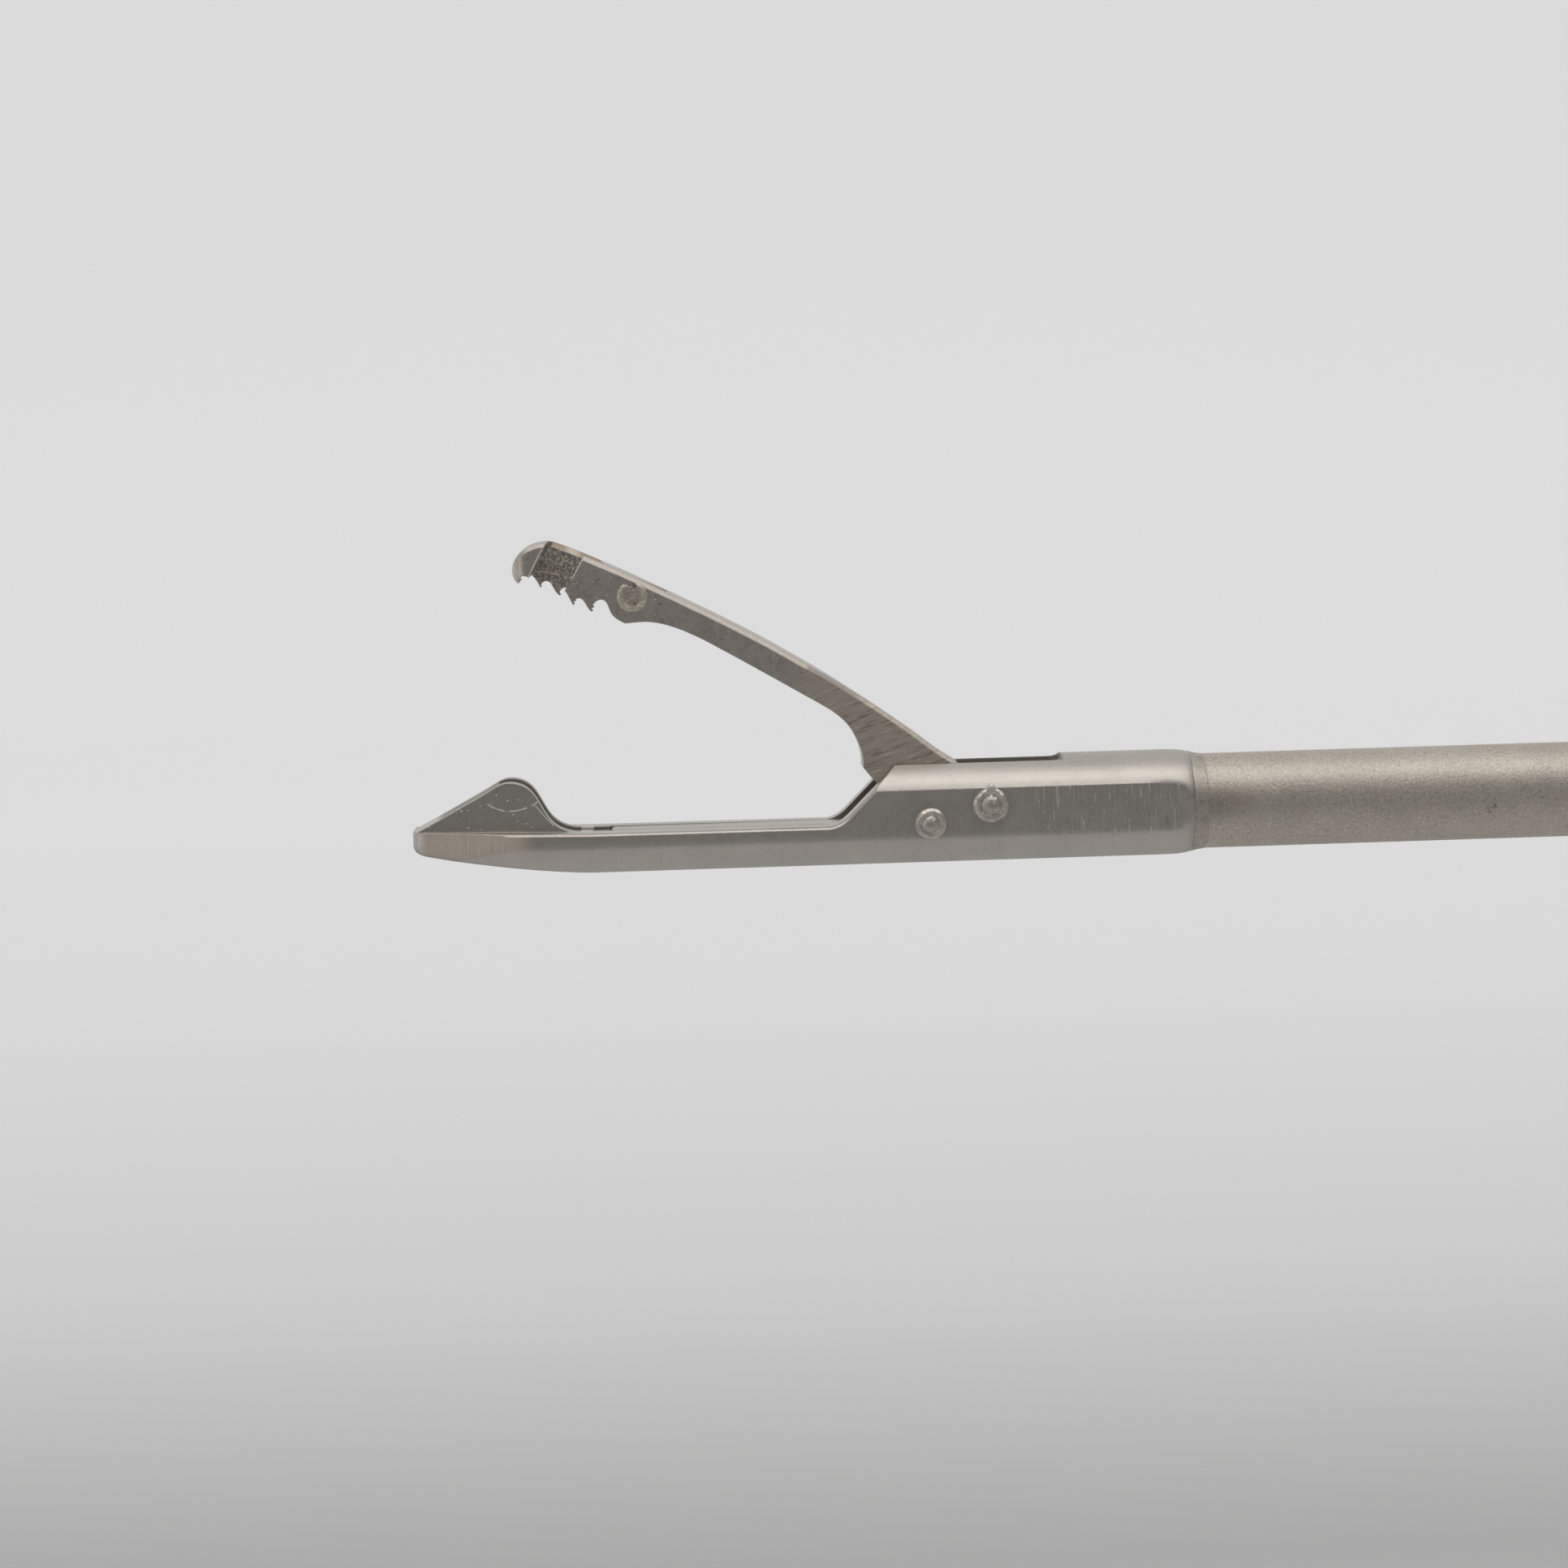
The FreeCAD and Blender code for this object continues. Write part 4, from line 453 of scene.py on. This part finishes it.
def peek():
    m = Mat("guide_peek")
    n = m.noise(1.4, 4.0, 0.6)
    col = m.mixc(m.step(n, 0.35, 0.7), (0.56, 0.49, 0.375), (0.67, 0.60, 0.475))
    m.put(m.b.inputs["Base Color"], col)
    m.put(m.b.inputs["Roughness"], m.lerp(n, 0.42, 0.6))
    m.put(m.b.inputs["Normal"], m.bump(m.noise(1.0, 2.0, 0.6, m.vec(scale=(12.0, 0.4, 0.4))), 0.3, 0.01 * MM))
    return m.mat


def silicone():
    m = Mat("seal_silicone")
    n = m.noise(1.8, 4.0, 0.6)
    col = m.mixc(m.step(n, 0.35, 0.7), (0.055, 0.058, 0.064), (0.085, 0.09, 0.098))
    m.put(m.b.inputs["Base Color"], col)
    m.put(m.b.inputs["Roughness"], m.lerp(n, 0.55, 0.72))
    m.put(m.b.inputs["Normal"], m.bump(m.noise(7.0, 3.0), 0.3, 0.01 * MM))
    return m.mat


paint(["lever_bush", "trigger_bush"], bronze())
paint(["rod_guides"], peek())
paint(["rod_seal"], silicone())


# ------------------------------------------------------------------ welded and peened pin ends, modelled
def smooth(t):
    t = max(0.0, min(1.0, t))
    return t * t * (3 - 2 * t)


def table(shape, x):
    """A low dome in the middle, a shallow groove, and a rounded rim round it."""
    dome_r, dome_h, ring_c, ring_w, ring_h, floor_h = shape
    h = floor_h * smooth((ring_c + ring_w - x) / ring_w)
    if x < dome_r:
        h += dome_h * (1.0 - (x / dome_r) ** 2)
    q = abs(x - ring_c) / ring_w
    if q < 1.0:
        h += ring_h * math.cos(q * math.pi / 2) ** 2
    return h


def pin(name, cad, x, z, half, shank_r, rim, profile, lumps, body, mat, tilt=0.0, tail=None, seed=0.0, rough_amp=0.0):
    """A cross pin: shank and two ends. profile gives height over the flat against radius, in mm; lumps are
    (angle, spread, radius, width, height); tail is a smear of metal running off the rim at an angle."""
    bm = bmesh.new()
    NA, NR = 112, 44
    roots = {}
    for side in (-1, 1):
        rows = []
        for j in range(NR + 1):
            t = j / NR
            ring = []
            for i in range(NA):
                a = 2 * math.pi * i / NA
                wob = noise.noise(Vector((math.cos(a) * 1.3 + seed, math.sin(a) * 1.3, side * 2.0))) * 0.055 * rim
                reach = rim + wob
                if tail and side == -1:
                    da = math.atan2(math.sin(a - tail[0]), math.cos(a - tail[0]))
                    reach += tail[1] * math.exp(-(da / tail[2]) ** 2)
                rr = reach * t
                h = table(profile, t * rim)
                for la, ls, lr, lw, lh in lumps:
                    da = math.atan2(math.sin(a - la), math.cos(a - la))
                    h += lh * math.exp(-(da / ls) ** 2) * math.exp(-((t * rim - lr) / lw) ** 2)
                fade = smooth((1.0 - t) * 6.0)
                v = Vector((rr * math.cos(a) * 3.2 + seed, rr * math.sin(a) * 3.2, side))
                h += (noise.noise(v) * 0.022 + noise.noise(v * 2.6) * (0.010 + rough_amp * 0.5)
                      + noise.noise(v * 5.5) * (0.004 + rough_amp)) * fade
                if j == NR:
                    h = -0.03
                px, pz = rr * math.cos(a), rr * math.sin(a)
                ring.append(bm.verts.new(((x + px) * MM, side * (half + h) * MM, (z + pz) * MM)))
                if j == 0:
                    break
            rows.append(ring)
        c = rows[0][0]
        for i in range(NA):
            a, b_ = rows[1][i], rows[1][(i + 1) % NA]
            bm.faces.new((c, b_, a) if side == 1 else (c, a, b_))
        for j in range(1, NR):
            for i in range(NA):
                q = (rows[j][i], rows[j][(i + 1) % NA], rows[j + 1][(i + 1) % NA], rows[j + 1][i])
                bm.faces.new(q if side == 1 else q[::-1])
        # underside of the head, back in to the shank
        neck = [bm.verts.new(((x + shank_r * math.cos(2 * math.pi * i / NA)) * MM, side * (half - 0.07) * MM,
                              (z + shank_r * math.sin(2 * math.pi * i / NA)) * MM)) for i in range(NA)]
        for i in range(NA):
            bm.faces.new((rows[NR][i], rows[NR][(i + 1) % NA], neck[(i + 1) % NA], neck[i]))
        roots[side] = neck
    # shank: one closed body with both ends
    for i in range(NA):
        bm.faces.new((roots[-1][i], roots[-1][(i + 1) % NA], roots[1][(i + 1) % NA], roots[1][i]))
    bmesh.ops.recalc_face_normals(bm, faces=bm.faces)
    me = bpy.data.meshes.new(name)
    bm.to_mesh(me)
    bm.free()
    for p in me.polygons:
        p.use_smooth = True
    o = bpy.data.objects.new(name, me)
    bpy.context.scene.collection.objects.link(o)
    o.data.materials.append(mat)
    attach(o, body)
    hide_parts(cad)
    return o


def weld_mat(name, base, rough, cx, cz, core, dark, pits_at=()):
    def f(m, col, r, nrm):
        wob = m.math("MULTIPLY", m.math("SUBTRACT", m.noise(2.0, 2.0), 0.5), core * 0.5)
        d = m.math("ADD", m.dist2d(cx, cz), wob)
        for px, pz, rad in pits_at:
            q = m.math("ADD", m.dist2d(px, pz), m.math("MULTIPLY", wob, 0.5))
            col = m.mixc(m.mul(m.step(q, rad, rad * 0.4), 0.85), col, (0.07, 0.06, 0.05))
        centre = m.step(d, core * 1.15, core * 0.75)
        col = m.mixc(m.mul(centre, dark), col, tuple(c * 0.45 for c in base))
        # painted shade: the groove between the dome and the rim is coloured darker
        groove = m.band(d, core * 1.02, core * 1.22, core * 0.16)
        col = m.mixc(m.mul(groove, 0.40), col, tuple(c * 0.42 for c in base))
        patch = m.step(m.noise(1.7, 3.0, 0.6, m.vec(loc=(cx * 0.3, 0, cz))), 0.46, 0.62)
        col = m.mixc(m.mul(patch, 0.45), col, tuple(c * 0.58 for c in base))
        pits = m.step(m.noise(4.2, 3.0, 0.7), 0.62, 0.74)
        col = m.mixc(m.mul(pits, 0.45), col, (0.17, 0.15, 0.13))
        swirl = m.noise(2.2, 4.0, 0.65, dist=0.8)
        r = m.lerp(m.step(swirl, 0.4, 0.7), r, 0.56)
        nrm = m.bump(swirl, 0.22, 0.03 * MM, nrm)
        return col, r, nrm
    return steel(name, base, rough, grain=0.7, grain_scale=7.0, grain_bump=0.4, edge=0, spots=0.5, extra=f)


DEG = math.pi / 180
pin("pivot_weld", "jaw_pivot_pin", T - 0.20, -0.51, 2.48, 0.49, 0.82,
    (0.47, 0.225, 0.60, 0.25, 0.070, 0.030),
    [(45 * DEG, 0.8, 0.62, 0.16, 0.045), (135 * DEG, 0.5, 0.60, 0.12, 0.020), (230 * DEG, 0.8, 0.60, 0.14, -0.035),
     (-60 * DEG, 0.5, 0.58, 0.12, 0.020)],
    "root", weld_mat("weld_front", (0.70, 0.645, 0.58), 0.38, T - 0.20, -0.51, 0.40, 0.30), seed=1.7, rough_amp=0.005)
pin("guide_weld", "guide_pin", T + 2.96, 0.37, 2.48, 0.49, 0.92,
    (0.50, 0.255, 0.69, 0.26, 0.080, 0.030),
    [(25 * DEG, 0.6, 0.72, 0.16, 0.040), (165 * DEG, 0.6, 0.70, 0.16, 0.040), (88 * DEG, 0.4, 0.84, 0.14, 0.030),
     (-60 * DEG, 0.6, 0.70, 0.12, -0.025), (235 * DEG, 0.4, 0.66, 0.12, 0.020)],
    "root", weld_mat("weld_rear", (0.70, 0.645, 0.58), 0.38, T + 2.96, 0.37, 0.46, 0.25), tail=(88 * DEG, 0.20, 0.22), seed=4.1,
    rough_amp=0.005)
pin("rivet_end", "trap_rivet", T - 15.34, 11.72, 2.25, 0.29, 0.80,
    (0.40, 0.012, 0.61, 0.20, 0.052, 0.018),
    [(200 * DEG, 0.45, 0.66, 0.14, 0.045), (262 * DEG, 0.25, 0.60, 0.14, -0.030), (300 * DEG, 0.35, 0.68, 0.12, 0.035),
     (30 * DEG, 0.45, 0.68, 0.13, 0.045), (-15 * DEG, 0.25, 0.60, 0.12, -0.025), (140 * DEG, 0.25, 0.64, 0.12, 0.025),
     (95 * DEG, 0.35, 0.62, 0.16, -0.075), (-65 * DEG, 0.22, 0.38, 0.08, -0.050)],
    "jaw", weld_mat("rivet_peened", (0.74, 0.67, 0.58), 0.56, T - 15.34, 11.72, 0.48, 0.66,
                    ((T - 15.20, 11.34, 0.13), (T - 15.22, 12.30, 0.16))), seed=8.3, rough_amp=0.026)


def seam():
    """The seam weld between head and tube: a thin rippled fillet right round the joint."""
    prof = [(13.58, 2.60), (13.64, 2.646), (13.76, 2.618), (13.90, 2.580), (14.04, 2.550), (14.18, 2.530), (14.32, 2.512),
            (14.44, 2.490)]
    NA = 240
    bm = bmesh.new()
    rows = []
    for j, (px, pr) in enumerate(prof):
        ring = []
        for i in range(NA):
            a = 2 * math.pi * i / NA
            w = noise.noise(Vector((math.cos(a) * 3.0, math.sin(a) * 3.0, j * 0.35)))
            w2 = noise.noise(Vector((math.cos(a) * 14.0, math.sin(a) * 14.0, j * 0.8 + 4.0)))
            rr = pr + (0.010 * w + 0.006 * w2 if 0 < j < len(prof) - 1 else -0.02)
            xx = px + 0.05 * w
            ring.append(bm.verts.new(((T + xx) * MM, rr * math.cos(a) * MM, rr * math.sin(a) * MM)))
        rows.append(ring)
    for a, b_ in zip(rows, rows[1:] + rows[:1]):
        for i in range(NA):
            bm.faces.new((a[i], a[(i + 1) % NA], b_[(i + 1) % NA], b_[i]))
    bmesh.ops.recalc_face_normals(bm, faces=bm.faces)
    me = bpy.data.meshes.new("seam_weld")
    bm.to_mesh(me)
    bm.free()
    for p in me.polygons:
        p.use_smooth = True
    o = bpy.data.objects.new("seam_weld", me)
    bpy.context.scene.collection.objects.link(o)

    def f(m, col, r, nrm):
        burn = m.step(m.noise(3.2, 3.0, 0.75), 0.50, 0.72)
        col = m.mixc(m.mul(burn, 0.55), col, (0.24, 0.21, 0.18))
        nrm = m.bump(m.noise(2.4, 3.0, 0.7), 0.40, 0.03 * MM, nrm)
        return col, r, nrm

    o.data.materials.append(steel("seam_weld", (0.53, 0.485, 0.43), 0.50, grain=0.9, grain_scale=6.0, grain_bump=0.5, edge=0,
                                  spots=0.7, extra=f))
    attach(o, "root")


seam()


# ------------------------------------------------------------------ floor, light, camera
def stage_mat():
    m = Mat("pale_floor")
    n = m.noise(0.02, 2.0, 0.5)
    c0 = m.mixc(m.math("MULTIPLY", n, 0.03), (0.62, 0.62, 0.622), (0.60, 0.60, 0.60))
    # painted shade: the floor's colour darkens towards the camera side, standing in for the light falling off there
    c0 = m.mixc(m.step(m.y, 260.0, 90.0), c0, (0.50, 0.50, 0.502))
    c0 = m.mixc(m.step(m.y, 0.0, -300.0), c0, (0.37, 0.37, 0.372))
    m.put(m.b.inputs["Base Color"], c0)
    m.put(m.b.inputs["Roughness"], m.lerp(n, 0.88, 0.92))
    m.b.inputs["Specular IOR Level"].default_value = 0.1
    # painted light: the floor glows by a ramp along y, brighter far behind the object for the backdrop's light-to-dark
    # gradient, with a glowing strip under the jaws that lights their underside
    ramp = m.nt.nodes.new("ShaderNodeValToRGB")
    f = m.math("DIVIDE", m.math("ADD", m.y, 150.0), 2300.0, clamp=True)
    m.nt.links.new(f, ramp.inputs[0])
    pts = [(-130, 0.02), (-40, 0.10), (50, 0.10), (138, 0.03), (172, 0.088), (241, 0.18), (343, 0.255), (505, 0.335),
           (800, 0.39), (1150, 0.41), (1600, 0.465), (2100, 0.49)]
    while len(ramp.color_ramp.elements) < len(pts):
        ramp.color_ramp.elements.new(0.5)
    for e, (yy, v) in zip(ramp.color_ramp.elements, pts):
        e.position = (yy + 150.0) / 2300.0
        e.color = (v, v, v * 1.0, 1)
    m.nt.links.new(ramp.outputs[0], m.b.inputs["Emission Color"])
    m.b.inputs["Emission Strength"].default_value = 1.0
    return m.mat


def sweep():
    """Floor that curves up into a plain backdrop."""
    z0 = -0.0845
    prof = [(-1.6, z0), (0.0, z0), (1.2, z0)]
    for k in range(1, 15):
        a = math.radians(90.0 * k / 14)
        prof.append((1.2 + 0.9 * math.sin(a), z0 + 0.9 * (1 - math.cos(a))))
    prof.append((2.1, 3.2))
    xs = [-3.0 + 6.0 * i / 12 for i in range(13)]
    bm = bmesh.new()
    grid = [[bm.verts.new((x, y, z)) for x in xs] for y, z in prof]
    for a, b_ in zip(grid[:-1], grid[1:]):
        for i in range(len(xs) - 1):
            bm.faces.new((a[i], a[i + 1], b_[i + 1], b_[i]))
    me = bpy.data.meshes.new("floor_sweep")
    bm.to_mesh(me)
    bm.free()
    for p in me.polygons:
        p.use_smooth = True
    o = bpy.data.objects.new("floor_sweep", me)
    bpy.context.scene.collection.objects.link(o)
    o.data.materials.append(stage_mat())
    return o


sweep()


def area(name, loc, target, sx, sy, energy, color=(1, 1, 1)):
    l = bpy.data.lights.new(name, "AREA")
    l.shape = "RECTANGLE"
    l.size, l.size_y = sx, sy
    l.energy = energy
    l.color = color
    o = bpy.data.objects.new(name, l)
    bpy.context.scene.collection.objects.link(o)
    d = (Vector(target) - Vector(loc)).normalized()
    o.rotation_euler = d.to_track_quat("-Z", "Y").to_euler()
    o.location = loc
    return o


# a long softbox overhead, a little on the camera's side
area("softbox", (-0.06, -0.30, 0.78), (-0.06, 0.0, 0.0), 1.5, 0.50, 3.9, (1.0, 0.985, 0.965))
# a weak panel off to the left, which lights the edges that face that way
area("side_panel", (-1.15, -0.30, 0.16), (-0.10, 0.0, 0.0), 0.6, 0.6, 0.9)

world = bpy.data.worlds.new("studio")
bpy.context.scene.world = world
world.use_nodes = True
# a room that is light behind and above the object and darker on the near side
wt = world.node_tree
wc = wt.nodes.new("ShaderNodeTexCoord")
wx = wt.nodes.new("ShaderNodeSeparateXYZ")
wr = wt.nodes.new("ShaderNodeMapRange")
wr.interpolation_type = "SMOOTHSTEP"
wm = wt.nodes.new("ShaderNodeMix")
wm.data_type = "RGBA"
wt.links.new(wc.outputs["Generated"], wx.inputs[0])
wt.links.new(wx.outputs[1], wr.inputs["Value"])
wr.inputs["From Min"].default_value = -0.25
wr.inputs["From Max"].default_value = 0.35
wt.links.new(wr.outputs["Result"], wm.inputs[0])
wm.inputs[6].default_value = (0.22, 0.22, 0.222, 1)
wm.inputs[7].default_value = (0.62, 0.62, 0.622, 1)
wt.links.new(wm.outputs[2], wt.nodes["Background"].inputs[0])
wt.nodes["Background"].inputs[1].default_value = 1.0
bpy.context.scene.view_settings.view_transform = "Standard"
bpy.context.scene.view_settings.look = "None"
bpy.context.scene.view_settings.exposure = 0.0
bpy.context.scene.view_settings.gamma = 1.0

# camera: focal length 4446 px on the 1932 px frame, 190 mm from the jaws, looking down 5.6 degrees, rolled 1.6 degrees
F = 4446.0
az = math.atan(156.0 / F)
el = math.atan(436.0 / F)
roll = 0.0279
d = Vector((math.sin(az) * math.cos(el), math.cos(az) * math.cos(el), -math.sin(el)))
r0 = Vector((math.cos(az), -math.sin(az), 0.0))
u0 = r0.cross(d)
r = r0 * math.cos(roll) - u0 * math.sin(roll)
u = r0 * math.sin(roll) + u0 * math.cos(roll)
cam = bpy.data.cameras.new("camera")
cam.lens = 36.0 * F / 1932.0
cam.sensor_width = 36.0
cam.sensor_height = 36.0
cam.clip_start = 0.01
cam.clip_end = 20.0
co = bpy.data.objects.new("camera", cam)
bpy.context.scene.collection.objects.link(co)
C = Vector((-0.15731, -0.18856, 0.02007))
co.matrix_world = Matrix(((r.x, u.x, -d.x, C.x), (r.y, u.y, -d.y, C.y), (r.z, u.z, -d.z, C.z), (0, 0, 0, 1)))
bpy.context.scene.camera = co

bpy.context.view_layer.update()
